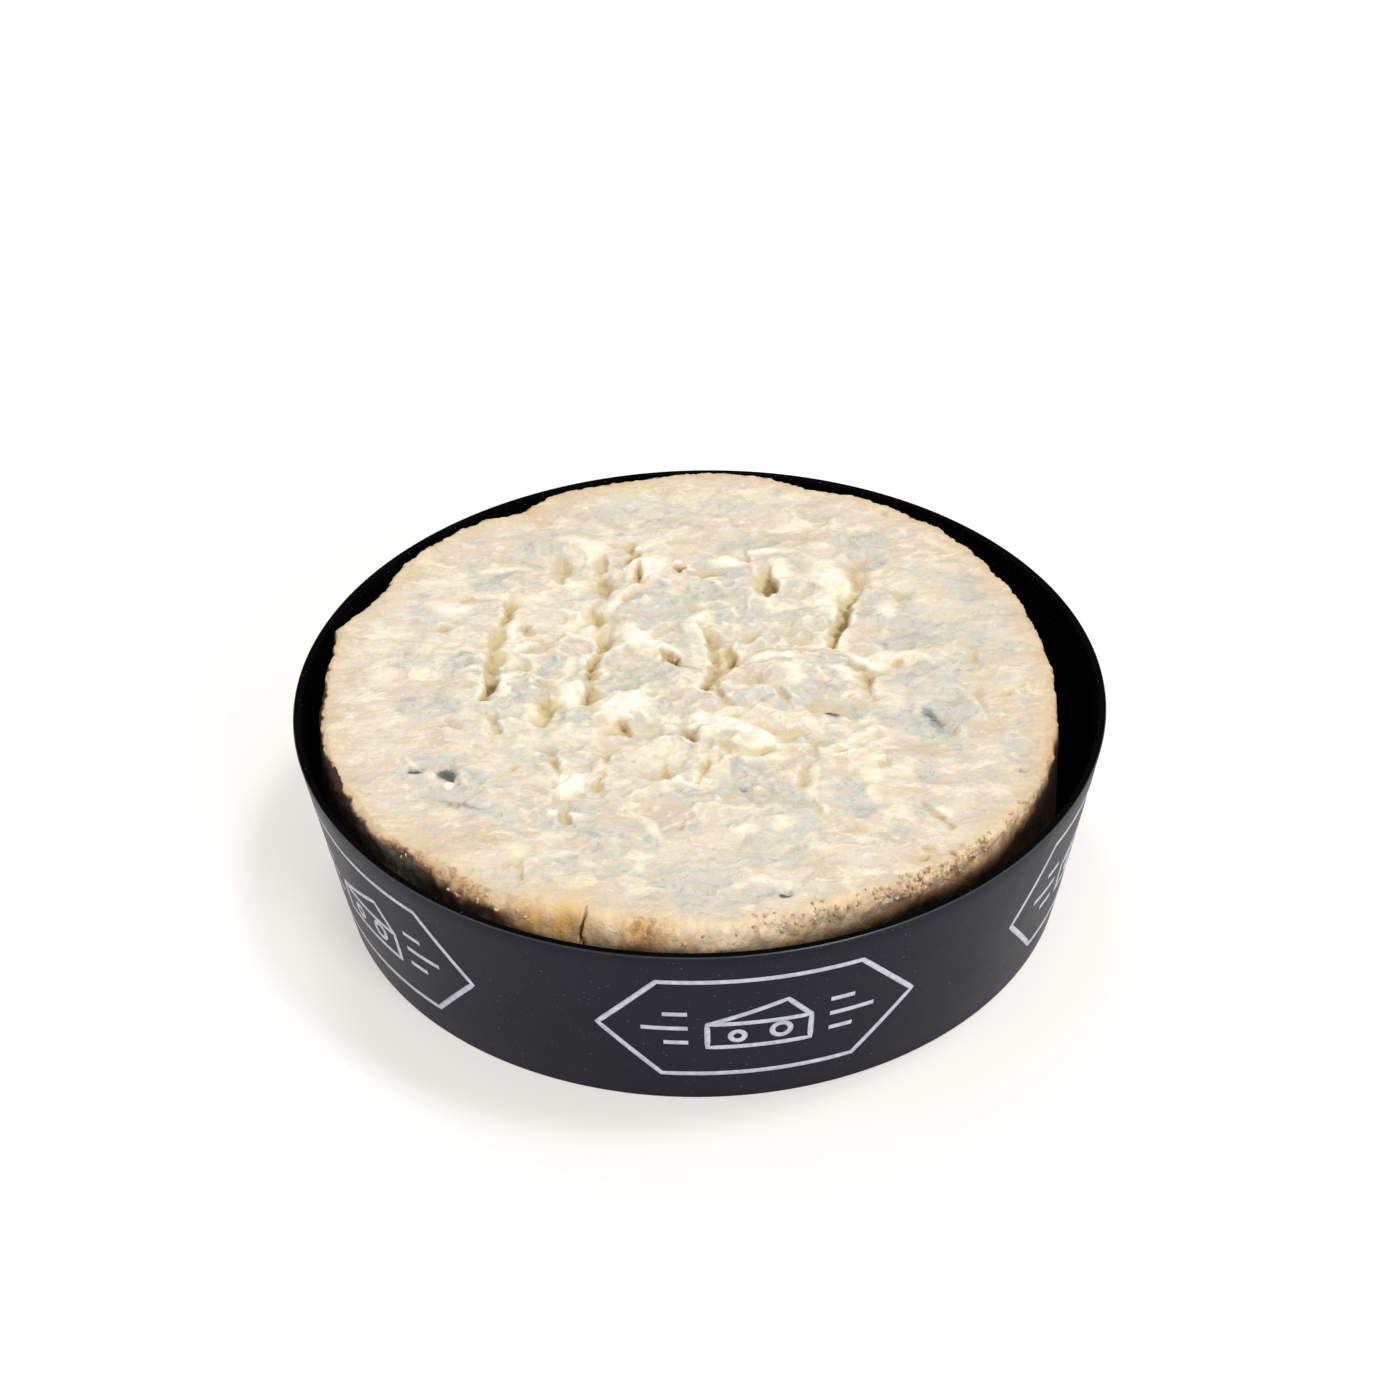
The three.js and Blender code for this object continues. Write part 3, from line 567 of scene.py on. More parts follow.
# Rows of the worn shoulder, then of the side down to the foot.
def sideRows(lastZ):
    bearing = 360 * np.arange(8 * cheese["rings"]) / (8 * cheese["rings"])
    around, rounding, ragged = arcAt(bearing), edgeRounding(bearing), raggedEdge(bearing)
    edge = outlineRadius(bearing) + ragged
    crumbly = 0.35 + 0.9 * roundThe(rindTones["rindCrumbly"], bearing)
    rows = []
    for step in range(1, 6):
        angle = math.pi / 2 * step / 5.6
        z = lastZ - rounding * (1 - math.cos(angle))
        crumb = crumbly * (noise(around, 0 * around + 3.1 * step, 3.0, 91) + 0.9 * noise(around, z, 6.5, 93))
        rows.append((edge - rounding * (1 - math.sin(angle)) + crumb, z + 0.4 * crumb))
    top = lastZ - rounding * 1.25
    for row in range(cheese["sideRows"] + 1):
        z = top + (cheeseFoot - top) * (row / cheese["sideRows"]) ** 1.9
        crumb = crumbly * (noise(around, z, 3.0, 92) + 0.9 * noise(around, z, 6.5, 93))
        rows.append((sideRadius(bearing, z) + (ragged + crumb) * math.exp(-row / 3), z))
    points = []
    for radius, z in rows:
        radius = np.minimum(radius, roomInTub(bearing, z)) - splitDepth(bearing, z)
        points.append(np.stack([*pointAt(bearing, radius), z], 1))
    return points


# Triangles between ring k of 8k points and the ring inside it, and the last ring.
def ringFaces(rings):
    faces = []
    start = 1
    inner = np.array([0])
    for k in range(1, rings + 1):
        outer = start + np.arange(8 * k)
        start += 8 * k
        octant, step = np.repeat(np.arange(8), k), np.tile(np.arange(k), 8)
        a, b = outer[octant * k + step], outer[(octant * k + step + 1) % (8 * k)]
        c = inner[(octant * (k - 1) + step) % len(inner)]
        faces.append(np.stack([a, b, c], 1))
        if k > 1:
            octant, step = np.repeat(np.arange(8), k - 1), np.tile(np.arange(k - 1), 8)
            b, c = outer[octant * k + step + 1], inner[octant * (k - 1) + step]
            d = inner[(octant * (k - 1) + step + 1) % len(inner)]
            faces.append(np.stack([b, d, c], 1))
        inner = outer
    return np.concatenate(faces), inner


def newObject(name, data):
    made = bpy.data.objects.new(name, data)
    bpy.context.scene.collection.objects.link(made)
    return made


def meshObject(name, points, faces):
    mesh = bpy.data.meshes.new(name)
    mesh.from_pydata(points.tolist(), [], [list(face) for face in faces])
    mesh.polygons.foreach_set("use_smooth", [True] * len(mesh.polygons))
    return newObject(name, mesh)


def addPaint(made, name, values):
    layer = made.data.attributes.new(name, "FLOAT", "POINT")
    layer.data.foreach_set("value", np.asarray(values, np.float32))


def makeCheese():
    face = makeFace()
    x, y = facePoints()
    z = sampled(face["height"], x, y)
    faces, rim = ringFaces(cheese["rings"])
    rows = sideRows(z[rim])
    footMiddle = np.array([[*cheese["centre"], cheeseFoot]])
    points = np.concatenate([np.stack([x, y, z], 1)] + rows + [footMiddle])
    allFaces = [faces]
    above = rim
    start = len(x)
    for row in rows:
        below = start + np.arange(len(rim))
        start += len(rim)
        nextBelow, nextAbove = np.roll(below, -1), np.roll(above, -1)
        allFaces.append(np.stack([below, nextBelow, nextAbove], 1))
        allFaces.append(np.stack([below, nextAbove, above], 1))
        above = below
    foot = np.full(len(rim), len(points) - 1)
    allFaces.append(np.stack([foot, np.roll(above, -1), above], 1))
    made = meshObject("cheesePaste", points * mm, np.concatenate(allFaces))

    px, py, pz = points.T
    cx, cy = cheese["centre"]
    bearing = np.degrees(np.arctan2(py - cy, px - cx))
    onFace = np.arange(len(points)) < len(x)
    for name in ("mould", "cream", "crest", "valley", "groove", "spots", "warm"):
        addPaint(made, name, sampled(face[name], px, py) * onFace)
    # distance from the cut's edge: below zero on the face, above zero down the side
    inward = outlineRadius(bearing) + raggedEdge(bearing) - np.hypot(px - cx, py - cy)
    depth = cheese["faceHeight"] - pz
    addPaint(made, "rindDepth", np.where(onFace, np.minimum(-inward, 0), np.clip(depth, 0, None)))
    for name, places in rindTones.items():
        addPaint(made, name, roundThe(places, bearing))
    addPaint(made, "split", np.where(onFace, 0, splitDepth(bearing, pz) / rindSplit["depth"]))
    crumbly = roundThe(rindTones["rindCrumbly"], bearing) ** 2
    addPaint(made, "crumbMask", crumbly * bell((depth - 2) / 3) * ~onFace)
    raised = sampled(face["cream"], px, py) + sampled(face["crest"], px, py)
    addPaint(made, "curdMask", tornShare(px, py) * smoothStep(0.2, 0.9, raised) * onFace)
    print("cheese:", len(points), "points,", len(made.data.polygons), "triangles")
    return made


# The tub's wall, rim, floor and foot as one turned shell. The numbers say where the rim's glossy edge,
# lighter as a painted highlight, and the inside, near black as painted shade, start.
def tubProfile():
    bevel, rim, corner = tub["bottomBevel"], tub["rimBevel"], tub["insideCorner"]
    footInner = footRadius - tub["footWidth"]
    quarter = [math.radians(90 * step / 5) for step in range(6)]

    def outer(z):
        return footRadius + wallSlope * z

    profile = [(footInner, tub["footRecess"]), (footInner + bevel, 0.0), (footRadius - bevel, 0.0)]
    profile += [(footRadius - bevel + bevel * math.sin(a), bevel - bevel * math.cos(a)) for a in quarter[1:]]
    wallTop = tubHeight - rim
    profile += [(outer(z), z) for z in np.linspace(bevel, wallTop, 12)[1:]]
    edgeFrom = len(profile) - 1
    profile += [(outer(wallTop) - rim + rim * math.cos(a), wallTop + rim * math.sin(a)) for a in quarter[1:]]
    insideFrom = len(profile) - 2
    innerTop = outer(wallTop) - tub["wall"] + rim
    profile += [(innerTop - rim * math.sin(a), wallTop + rim * math.cos(a)) for a in quarter]
    cornerZ = tub["floor"] + corner
    profile += [(outer(z) - tub["wall"], z) for z in np.linspace(wallTop, cornerZ, 9)[1:-1]]
    cornerRadius = outer(cornerZ) - tub["wall"] - corner
    profile += [(cornerRadius + corner * math.cos(a), cornerZ - corner * math.sin(a)) for a in quarter]
    return profile, edgeFrom, insideFrom


def makeTub():
    profile, edgeFrom, insideFrom = tubProfile()
    count = tub["segments"]
    turn = 2 * np.pi * np.arange(count) / count
    rows = [np.stack([r * np.cos(turn), r * np.sin(turn), np.full(count, z)], 1) for r, z in profile]
    points = np.concatenate(rows + [np.array([[0, 0, tub["footRecess"]], [0, 0, tub["floor"]]])])
    ring = np.arange(count)
    onward = np.roll(ring, -1)
    faces = []
    slots = []
    for row in range(len(profile) - 1):
        low, high = row * count, (row + 1) * count
        faces += np.stack([low + ring, low + onward, high + onward, high + ring], 1).tolist()
        slots += [1 if row >= insideFrom else 2 if row >= edgeFrom else 0] * count
    under, floor = len(points) - 2, len(points) - 1
    last = (len(profile) - 1) * count
    faces += [[under, b, a] for a, b in zip(ring.tolist(), onward.tolist())]
    faces += [[floor, last + a, last + b] for a, b in zip(ring.tolist(), onward.tolist())]
    slots += [0] * count + [1] * count
    made = meshObject("tubShell", points * mm, faces)
    for name in ("tubOutside", "tubInsidePaintedShade", "tubRimPaintedHighlight"):
        made.data.materials.append(plasticMaterial(name, *tub[name]))
    made.data.polygons.foreach_set("material_index", slots)
    print("tub:", len(made.data.polygons), "faces")
    return made


# Lines of the printed badge, in millimetres across and up from its middle.
badge = {
    "length": 118.0,
    "height": 52.0,
    "corner": 15.0,            # how far in the pointed ends' shoulders start
    "line": 2.1,
    "thickness": 0.12,
    "count": 5,
    "spacing": 65.5,           # degrees
    "bearing": -148.0,         # of the first, left of the one at the front
    "middleHeight": 41.0,      # above the ground
    "ink": srgb(204, 207, 216),
    "wornInk": srgb(176, 179, 190),
    "inkRoughness": 0.5,
}


# A frame with six sides, a wedge of cheese with two holes, and bars of shrinking length on each side.
def badgeLines():
    half, top, corner = badge["length"] / 2, badge["height"] / 2, badge["corner"]
    lines = [[(-half, 0), (-half + corner * 1.5, -top), (half - corner * 1.5, -top), (half, 0),
              (half - corner * 1.5, top), (-half + corner * 1.5, top), (-half, 0)]]
    lines.append([(-19, -11), (19, -11), (19, 2), (-19, 2), (-19, -11)])
    lines.append([(-19, 2), (10, 13), (19, 2)])
    for cx, cy, radius in ((-8, -5, 2.6), (8, -3.5, 3.4)):
        turns = [2 * math.pi * step / 18 for step in range(19)]
        lines.append([(cx + radius * math.cos(a), cy + radius * math.sin(a)) for a in turns])
    for side in (-1, 1):
        for height, length in ((-8, 9), (0, 17), (8, 9)):
            lines.append([(side * 26, height), (side * (26 + length), height)])
    return lines


# A node tree that thickens flat lines, repeats them and bends them round the tub's cone.
def badgeTree():
    lengths = ("Line", "Thickness", "Spacing", "Bearing", "Height", "Foot Radius", "Slope")
    inputs = {**dict.fromkeys(lengths, "Float"), "Count": "Int", "Ink": "Material"}
    tree, identifiers, given, leave = newGeometryTree("wrapBadges", inputs)
    curve = place("GeometryNodeMeshToCurve", {"Mesh": given["Geometry"]})
    upright = place("GeometryNodeSetCurveNormal", {"Curve": curve}, mode="Z_UP")
    section = {"Width": given["Line"], "Height": given["Thickness"]}
    section = place("GeometryNodeCurvePrimitiveQuadrilateral", section, mode="RECTANGLE")
    ribbon = {"Curve": upright, "Profile Curve": section, "Fill Caps": True}
    ribbon = place("GeometryNodeCurveToMesh", ribbon)

    # one copy for each badge, set along X by its arc length at the middle height
    middle = plus(given["Foot Radius"], times(given["Slope"], given["Height"]))
    offset = place("ShaderNodeCombineXYZ", {"X": times(math2("RADIANS", given["Spacing"]), middle)})
    copies = place("GeometryNodeMeshLine", {"Count": given["Count"], "Offset": offset}, mode="OFFSET")
    badges = place("GeometryNodeInstanceOnPoints", {"Points": copies, "Instance": ribbon})
    realized = place("GeometryNodeRealizeInstances", {"Geometry": badges})

    # x becomes the bearing, y the height and z the distance out from the wall
    flat = place("ShaderNodeSeparateXYZ", {"Vector": place("GeometryNodeInputPosition")}).outputs
    bearing = plus(math2("RADIANS", given["Bearing"]), math2("DIVIDE", flat["X"], middle))
    height = plus(flat["Y"], given["Height"])
    radius = plus(plus(given["Foot Radius"], times(given["Slope"], height)), flat["Z"])
    x, y = times(radius, math2("COSINE", bearing)), times(radius, math2("SINE", bearing))
    bent = place("ShaderNodeCombineXYZ", {"X": x, "Y": y, "Z": height})
    wrapped = place("GeometryNodeSetPosition", {"Geometry": realized, "Position": bent})
    inked = place("GeometryNodeSetMaterial", {"Geometry": wrapped, "Material": given["Ink"]})
    feed(leave, {"Geometry": inked})
    return tree, identifiers


# Runs a tree on an object and gives back its result as a plain mesh object.
def runTree(source, built, values, name):
    tree, identifiers = built
    modifier = source.modifiers.new("tree", "NODES")
    modifier.node_group = tree
    for label, value in values.items():
        modifier[identifiers[label]] = value
    graph = bpy.context.evaluated_depsgraph_get()
    mesh = bpy.data.meshes.new_from_object(source.evaluated_get(graph), depsgraph=graph)
    source.modifiers.remove(modifier)
    mesh.name = name
    print(name + ":", len(mesh.polygons), "faces")
    return newObject(name, mesh)


def makeBadges():
    points, edges = [], []
    for line in badgeLines():
        first = len(points)
        closed = line[0] == line[-1]
        for start, end in zip(line, line[1:]):
            steps = max(1, math.ceil(math.dist(start, end) / 3))
            points += [tuple(a + (b - a) * step / steps for a, b in zip(start, end)) for step in range(steps)]
        if not closed:
            points.append(line[-1])
        edges += [(index, index + 1) for index in range(first, len(points) - 1)]
        if closed:
            edges.append((len(points) - 1, first))
    mesh = bpy.data.meshes.new("badgeLines")
    mesh.from_pydata([(x * mm, y * mm, 0) for x, y in points], edges, [])
    source = newObject("badgeLines", mesh)
    values = {
        "Line": badge["line"] * mm, "Thickness": 2 * badge["thickness"] * mm, "Spacing": badge["spacing"],
        "Bearing": badge["bearing"], "Height": badge["middleHeight"] * mm, "Foot Radius": footRadius * mm,
        "Slope": wallSlope, "Count": badge["count"], "Ink": inkMaterial(),
    }
    made = runTree(source, badgeTree(), values, "tubBadges")
    bpy.data.objects.remove(source)
    return made


# Loose bits of rind and paste: the mask that allows them, bits in a square centimetre, smallest and
# largest size, and the colours that they vary between.
crumbs = {
    "rindCrumbs": ("crumbMask", 18.0, 0.7, 2.3, "rindCrumb", "peach"),
    "faceCurds": ("curdMask", 0.6, 0.5, 1.5, "paste", "cream"),
}
crumbLooks = {
    "seed": 5,
    "dentScale": 900.0,        # dents in a metre
    "bump": 0.5,
    "bumpHeight": 0.0004,      # metres
    "subsurface": 0.2,
    "subsurfaceScale": 0.002,
    "specular": 0.3,
}


# A node tree that scatters small lumps where the mesh's own mask allows them.
def crumbTree():
    inputs = {"Mask": "String", "Density": "Float", "Smallest": "Float", "Largest": "Float",
              "Dent Scale": "Float", "Seed": "Int", "Finish": "Material"}
    tree, identifiers, given, leave = newGeometryTree("scatterCrumbs", inputs)
    seed = given["Seed"]
    mask = place("GeometryNodeInputNamedAttribute", {"Name": given["Mask"]}, data_type="FLOAT")
    points = {"Mesh": given["Geometry"], "Density": times(mask, given["Density"]), "Seed": seed}
    points = place("GeometryNodeDistributePointsOnFaces", points, distribute_method="RANDOM")
    lump = place("GeometryNodeMeshIcoSphere", {"Radius": 0.5, "Subdivisions": 1})
    size = {0: given["Smallest"], 1: given["Largest"], "Seed": seed}
    size = place("FunctionNodeRandomValue", size, data_type="FLOAT_VECTOR")
    turn = {1: (2 * math.pi,) * 3, "Seed": seed}
    turn = place("FunctionNodeRandomValue", turn, data_type="FLOAT_VECTOR")
    scattered = {"Points": points, "Instance": lump, "Scale": size, "Rotation": turn}
    scattered = place("GeometryNodeInstanceOnPoints", scattered)
    tone = place("FunctionNodeRandomValue", data_type="FLOAT").outputs[1]
    toned = {"Geometry": scattered, "Name": "tone", "Value": tone}
    toned = place("GeometryNodeStoreNamedAttribute", toned, data_type="FLOAT", domain="INSTANCE")
    realized = place("GeometryNodeRealizeInstances", {"Geometry": toned})

    # dents, so that no two lumps are alike
    dents = place("ShaderNodeTexNoise", {"Scale": given["Dent Scale"]}).outputs["Color"]
    centred = place("ShaderNodeVectorMath", {0: dents, 1: (0.5, 0.5, 0.5)}, operation="SUBTRACT")
    offset = place("ShaderNodeVectorMath", {0: centred, "Scale": given["Largest"]}, operation="SCALE")
    dented = place("GeometryNodeSetPosition", {"Geometry": realized, "Offset": offset})
    smooth = place("GeometryNodeSetShadeSmooth", {"Geometry": dented})
    finished = place("GeometryNodeSetMaterial", {"Geometry": smooth, "Material": given["Finish"]})
    feed(leave, {"Geometry": finished})
    return tree, identifiers


def makeCrumbs(source):
    squareMetre = 1e4          # square centimetres
    built = crumbTree()
    made = []
    for name, (mask, density, smallest, largest, dark, pale) in crumbs.items():
        values = {
            "Mask": mask, "Density": density * squareMetre,
            "Smallest": smallest * mm, "Largest": largest * mm,
            "Dent Scale": crumbLooks["dentScale"], "Seed": crumbLooks["seed"],
            "Finish": crumbMaterial(name, pasteLooks[dark], pasteLooks[pale]),
        }
        made.append(runTree(source, built, values, name))
    return made


# Short ways to build node trees. place() and feed() work on the tree that was started last.
building = {}


# A new group and its sockets, each given by its name and type.
def newTree(name, kind, inputs, outputs):
    tree = building["tree"] = bpy.data.node_groups.new(name, kind)
    identifiers = {}
    for label, sort in inputs.items():
        socket = tree.interface.new_socket(label, in_out="INPUT", socket_type="NodeSocket" + sort)
        identifiers[label] = socket.identifier
    for label, sort in outputs.items():
        tree.interface.new_socket(label, in_out="OUTPUT", socket_type="NodeSocket" + sort)
    return tree, identifiers, place("NodeGroupInput").outputs, place("NodeGroupOutput")


def newGeometryTree(name, inputs):
    geometry = {"Geometry": "Geometry"}
    return newTree(name, "GeometryNodeTree", {**geometry, **inputs}, geometry)


def newMaterial(name):
    material = bpy.data.materials.new(name)
    material.use_nodes = True
    building["tree"] = material.node_tree
    material.node_tree.nodes.clear()
    shader = place("ShaderNodeBsdfPrincipled")
    place("ShaderNodeOutputMaterial", {"Surface": shader})
    return material, shader


def place(kind, inputs={}, **settings):
    node = building["tree"].nodes.new(kind)
    for name, value in settings.items():
        setattr(node, name, value)
    feed(node, inputs)
    return node


# Sets or links a node's inputs, by name or number. A node stands for its first output.
def feed(node, inputs):
    for name, value in inputs.items():
        if isinstance(value, bpy.types.Node):
            value = value.outputs[0]
        if isinstance(value, bpy.types.NodeSocket):
            building["tree"].links.new(value, node.inputs[name])
        elif value is not None:
            node.inputs[name].default_value = value


def math2(operation, a, b=None, clamp=False):
    return place("ShaderNodeMath", {0: a, 1: b}, operation=operation, use_clamp=clamp).outputs[0]


def plus(a, b, clamp=False):
    return math2("ADD", a, b, clamp)


def minus(a, b, clamp=False):
    return math2("SUBTRACT", a, b, clamp)


def times(*values):
    product = values[0]
    for value in values[1:]:
        product = math2("MULTIPLY", product, value)
    return product


def ramp(value, low, high, lowest=0.0, highest=1.0):
    inputs = {"Value": value, "From Min": low, "From Max": high, "To Min": lowest, "To Max": highest}
    return place("ShaderNodeMapRange", inputs, interpolation_type="SMOOTHSTEP").outputs[0]


# One colour over another, as far as the product of the shares. The Mix node's colours are its
# inputs 6 and 7 and its output 2.
def over(below, colour, *shares):
    return place("ShaderNodeMix", {0: times(*shares), 6: below, 7: colour}, data_type="RGBA").outputs[2]


def attribute(name):
    return place("ShaderNodeAttribute", attribute_name=name).outputs["Fac"]


def bump(height, strength, distance):
    return place("ShaderNodeBump", {"Height": height, "Strength": strength, "Distance": distance})


# One group for every noisy mask: Object coordinates, a size in millimetres, a stretch, a threshold.
def speckleGroup():
    inputs = dict.fromkeys(("Size", "Low", "High", "Detail", "Roughness", "Swirl"), "Float")
    inputs["Stretch"] = "Vector"
    group, _, given, leave = newTree("speckle", "ShaderNodeTree", inputs, {"Mask": "Float", "Noise": "Float"})
    where = place("ShaderNodeTexCoord").outputs["Object"]
    scaled = place("ShaderNodeVectorMath", {0: where, 1: given["Stretch"]}, operation="MULTIPLY")
    field = place("ShaderNodeTexNoise", {
        "Vector": scaled, "Scale": math2("DIVIDE", 1000.0, given["Size"]), "Detail": given["Detail"],
        "Roughness": given["Roughness"], "Distortion": given["Swirl"],
    }).outputs["Fac"]
    feed(leave, {"Mask": ramp(field, given["Low"], given["High"]), "Noise": field})
    return group


speckle = speckleGroup()


def speckled(size, low=0.4, high=0.6, detail=3.0, roughness=0.55, swirl=0.0, stretch=(1, 1, 1)):
    inputs = {"Size": size, "Low": low, "High": high, "Detail": detail, "Roughness": roughness,
              "Swirl": swirl, "Stretch": stretch}
    return place("ShaderNodeGroup", inputs, node_tree=speckle)


def noisy(size, detail, roughness, swirl=0.0, stretch=(1, 1, 1)):
    return speckled(size, 0.4, 0.6, detail, roughness, swirl, stretch).outputs["Noise"]


# Colours of the paste and the rind.
pasteLooks = {
    "paste": srgb(229, 217, 197),
    "pastePink": srgb(222, 204, 184),
    "pasteYellow": srgb(231, 218, 182),
    "streak": srgb(238, 230, 212),
    "creamYellow": srgb(247, 237, 209),
    "cream": srgb(250, 247, 234),
    "pasteDull": srgb(206, 190, 166),
    "mouldPale": srgb(203, 200, 191),
    "mouldGreen": srgb(200, 203, 191),
    "mouldGrey": srgb(170, 173, 168),
    "spot": srgb(70, 73, 66),
    # tan, pink tan and deep brown are painted shade in the creases and grooves
    "tan": srgb(208, 190, 142),
    "creaseShadePink": srgb(206, 179, 140),
    "grooveDeepShade": srgb(138, 114, 66),
    "peach": srgb(220, 194, 153),
    "rindPink": srgb(250, 232, 200),
    "rindTan": srgb(240, 208, 164),
    "rindBrown": srgb(158, 119, 84),
    "rindCrumb": srgb(186, 152, 112),
    "rindClod": srgb(124, 90, 54),
    # nearly black down the side, partly painted shade
    "rindDarkAndShade": srgb(62, 42, 29),
    "rindSplit": srgb(112, 70, 30),
    "rindOrange": srgb(242, 188, 106),
    "rindMoss": srgb(112, 108, 92),
}


# Speckles over all of the paste, the lowest first: colour and strength, then what speckled() takes.
pasteLayers = [
    ("pasteYellow", 0.8, 21, 0.5, 0.72, 3, 0.5, 0.6, (0.8, 1, 1)),
    ("streak", 0.6, 6, 0.46, 0.68, 4, 0.6, 0.6, (0.3, 1.2, 1)),
    ("pasteDull", 0.75, 12, 0.48, 0.62, 4, 0.62, 0.8, (0.7, 1, 1)),
    ("creamYellow", 0.9, 9, 0.52, 0.64, 4, 0.62, 0.8, (0.6, 1, 1)),
    ("peach", 0.65, "warm"),    # the browner areas listed above
    ("pasteDull", 0.35, 2.2, 0.5, 0.66, 3, 0.65, 0.5),
    ("cream", 0.45, 2.9, 0.54, 0.68, 3, 0.65, 0.5, (0.7, 1, 1)),
    ("mouldPale", 0.3, 3, 0.5, 0.7, 3, 0.6, 0.4, (0.16, 1.2, 1)),
]
pasteSurface = {
    "dry": 0.58,
    "wet": 0.38,               # roughness where it is wettest
    "bump": 0.6,
    "bumpHeight": 0.0016,      # metres
    "subsurface": 0.12,
    "subsurfaceRadius": (1.0, 0.62, 0.34),
    "subsurfaceScale": 0.0025,
    "specular": 0.3,
}


def pasteMaterial():
    look, surface = pasteLooks, pasteSurface
    material, shader = newMaterial("cheesePaste")
    mouldArea, cream, groove, crest, valley = map(attribute, ("mould", "cream", "groove", "crest", "valley"))

    # the paste drifts between pink and yellow, with pale streaks where the wire dragged
    colour = over(look["pastePink"], look["paste"], speckled(30, 0.42, 0.6, 4, 0.5, 0.5, (0.6, 1, 1)))

    def lay(tone, *shares):
        nonlocal colour
        colour = over(colour, look[tone], *shares)

    for tone, strength, *settings in pasteLayers:
        mask = attribute("warm") if "warm" in settings else speckled(*settings)
        lay(tone, mask, strength)

    # mould: a pale grey veil, greener in places, with darker curls and flecks inside it
    mould = times(mouldArea, ramp(noisy(5, 5, 0.65, 1.2, (0.7, 1, 1)), 0.3, 0.62, 0.45, 1.0))
    colour = over(colour, over(look["mouldPale"], look["mouldGreen"], speckled(13, 0.42, 0.6)), mould, 0.9)
    curls = times(speckled(9, 0.5, 0.68, 5, 0.62, 1.4, (0.7, 1, 1)), ramp(mouldArea, 0.3, 0.9))
    flecks = times(speckled(2.6, 0.6, 0.74, 3, 0.6, 0.8), ramp(mouldArea, 0.2, 0.8))
    for marks in (curls, flecks):
        lay("mouldGrey", marks, 0.5)

    # cream on lumps, and on crests as a painted highlight; tan in the creases and grooves as painted shade
    softly = minus(noisy(7, 4, 0.6, 0.8, (0.7, 1, 1)), 0.5)
    lump = plus(cream, times(softly, 0.9))
    for field, low, high, strength, tone in (
        (lump, 0.0, 0.6, 0.7, "creamYellow"), (lump, 0.45, 1.0, 0.9, "cream"),
        (crest, 0.1, 0.9, 0.6, "cream"), (valley, -0.2, -1.3, 0.6, "tan"), (crest, -0.25, -1.1, 0.4, "tan"),
    ):
        lay(tone, ramp(field, low, high), strength)
    # painted shade in the grooves: tan, then deep brown where deepest
    walls = minus(plus(groove, times(softly, 5.0)), times(attribute("spots"), 4.0))
    tan = over(look["tan"], look["creaseShadePink"], speckled(22, 0.44, 0.58))
    colour = over(colour, tan, ramp(walls, -0.2, 2.2), 0.8)
    lay("grooveDeepShade", ramp(walls, 1.7, 3.9), 0.85)

    # dark mould in the gaps, and a painted shadow strip at the slot near (88.8, -20)
    spot = plus(attribute("spots"), minus(noisy(2.6, 3, 0.6), 0.5))
    lay("mouldGrey", ramp(spot, 0.1, 0.8), 0.6)
    lay("spot", ramp(spot, 0.5, 1.1), 0.9)

    # the rind, from peach on the face's edge to tan, brown and nearly black down the side; the brown and
    # black are partly its own colour, partly painted shade
    depth, crumbly, orange, reach = map(attribute, ("rindDepth", "rindCrumbly", "rindOrange", "rindReachBeforeShade"))
    ragged = speckled(9, 0.3, 0.7, 5, 0.65)
    wander = times(minus(ragged.outputs["Noise"], 0.5), 16)
    inward = plus(depth, wander)
    lay("peach", ramp(inward, -14, -1), plus(times(orange, 0.45), 0.5))
    lay("peach", ramp(inward, -28, -6), orange, 0.6)
    share = math2("DIVIDE", plus(depth, times(wander, 0.5)), reach)
    patchy = ramp(ragged.outputs["Noise"], 0.3, 0.55, 0.35, 1.0)
    tan = over(look["rindTan"], look["rindOrange"], orange, patchy)
    tan = over(tan, look["rindPink"], speckled(14, 0.42, 0.6, 5, 0.66), minus(0.85, orange, True))
    tan = over(tan, look["rindBrown"], speckled(11, 0.5, 0.68, 5, 0.7), plus(crumbly, 0.35), 0.5)
    colour = over(colour, tan, ramp(share, -0.2, 0.45))
    # painted shade on the face's edge where the pale rind reaches least
    lay("rindBrown", ramp(inward, -4, 1), ramp(reach, 9.5, 6.5), 0.28)
    stained = times(ramp(times(crumbly, orange), 0.05, 0.2), ramp(inward, -8, -1))
    lay("rindBrown", stained, speckled(5, 0.42, 0.6, 4, 0.65), 0.8)
    grit, clods = speckled(3.4, 0.52, 0.67, 4, 0.72), speckled(7, 0.49, 0.58, 4, 0.7)
    lay("rindBrown", grit, ramp(depth, -1.5, 4), plus(crumbly, 0.15), 0.8)
    lay("rindClod", clods, ramp(depth, 0, 3), ramp(crumbly, 0.5, 1.1), 0.7)
    # brown, then nearly black down the side: partly painted shade
    lay("rindBrown", ramp(share, 0.55, 1.15))
    lay("rindDarkAndShade", ramp(share, 0.95, 1.7))
    lay("rindMoss", attribute("rindMoss"), ramp(depth, 0.5, 4), ragged)
    # the split's dark brown is painted shade in the crack
    lay("rindSplit", ramp(attribute("split"), 0.05, 0.8))

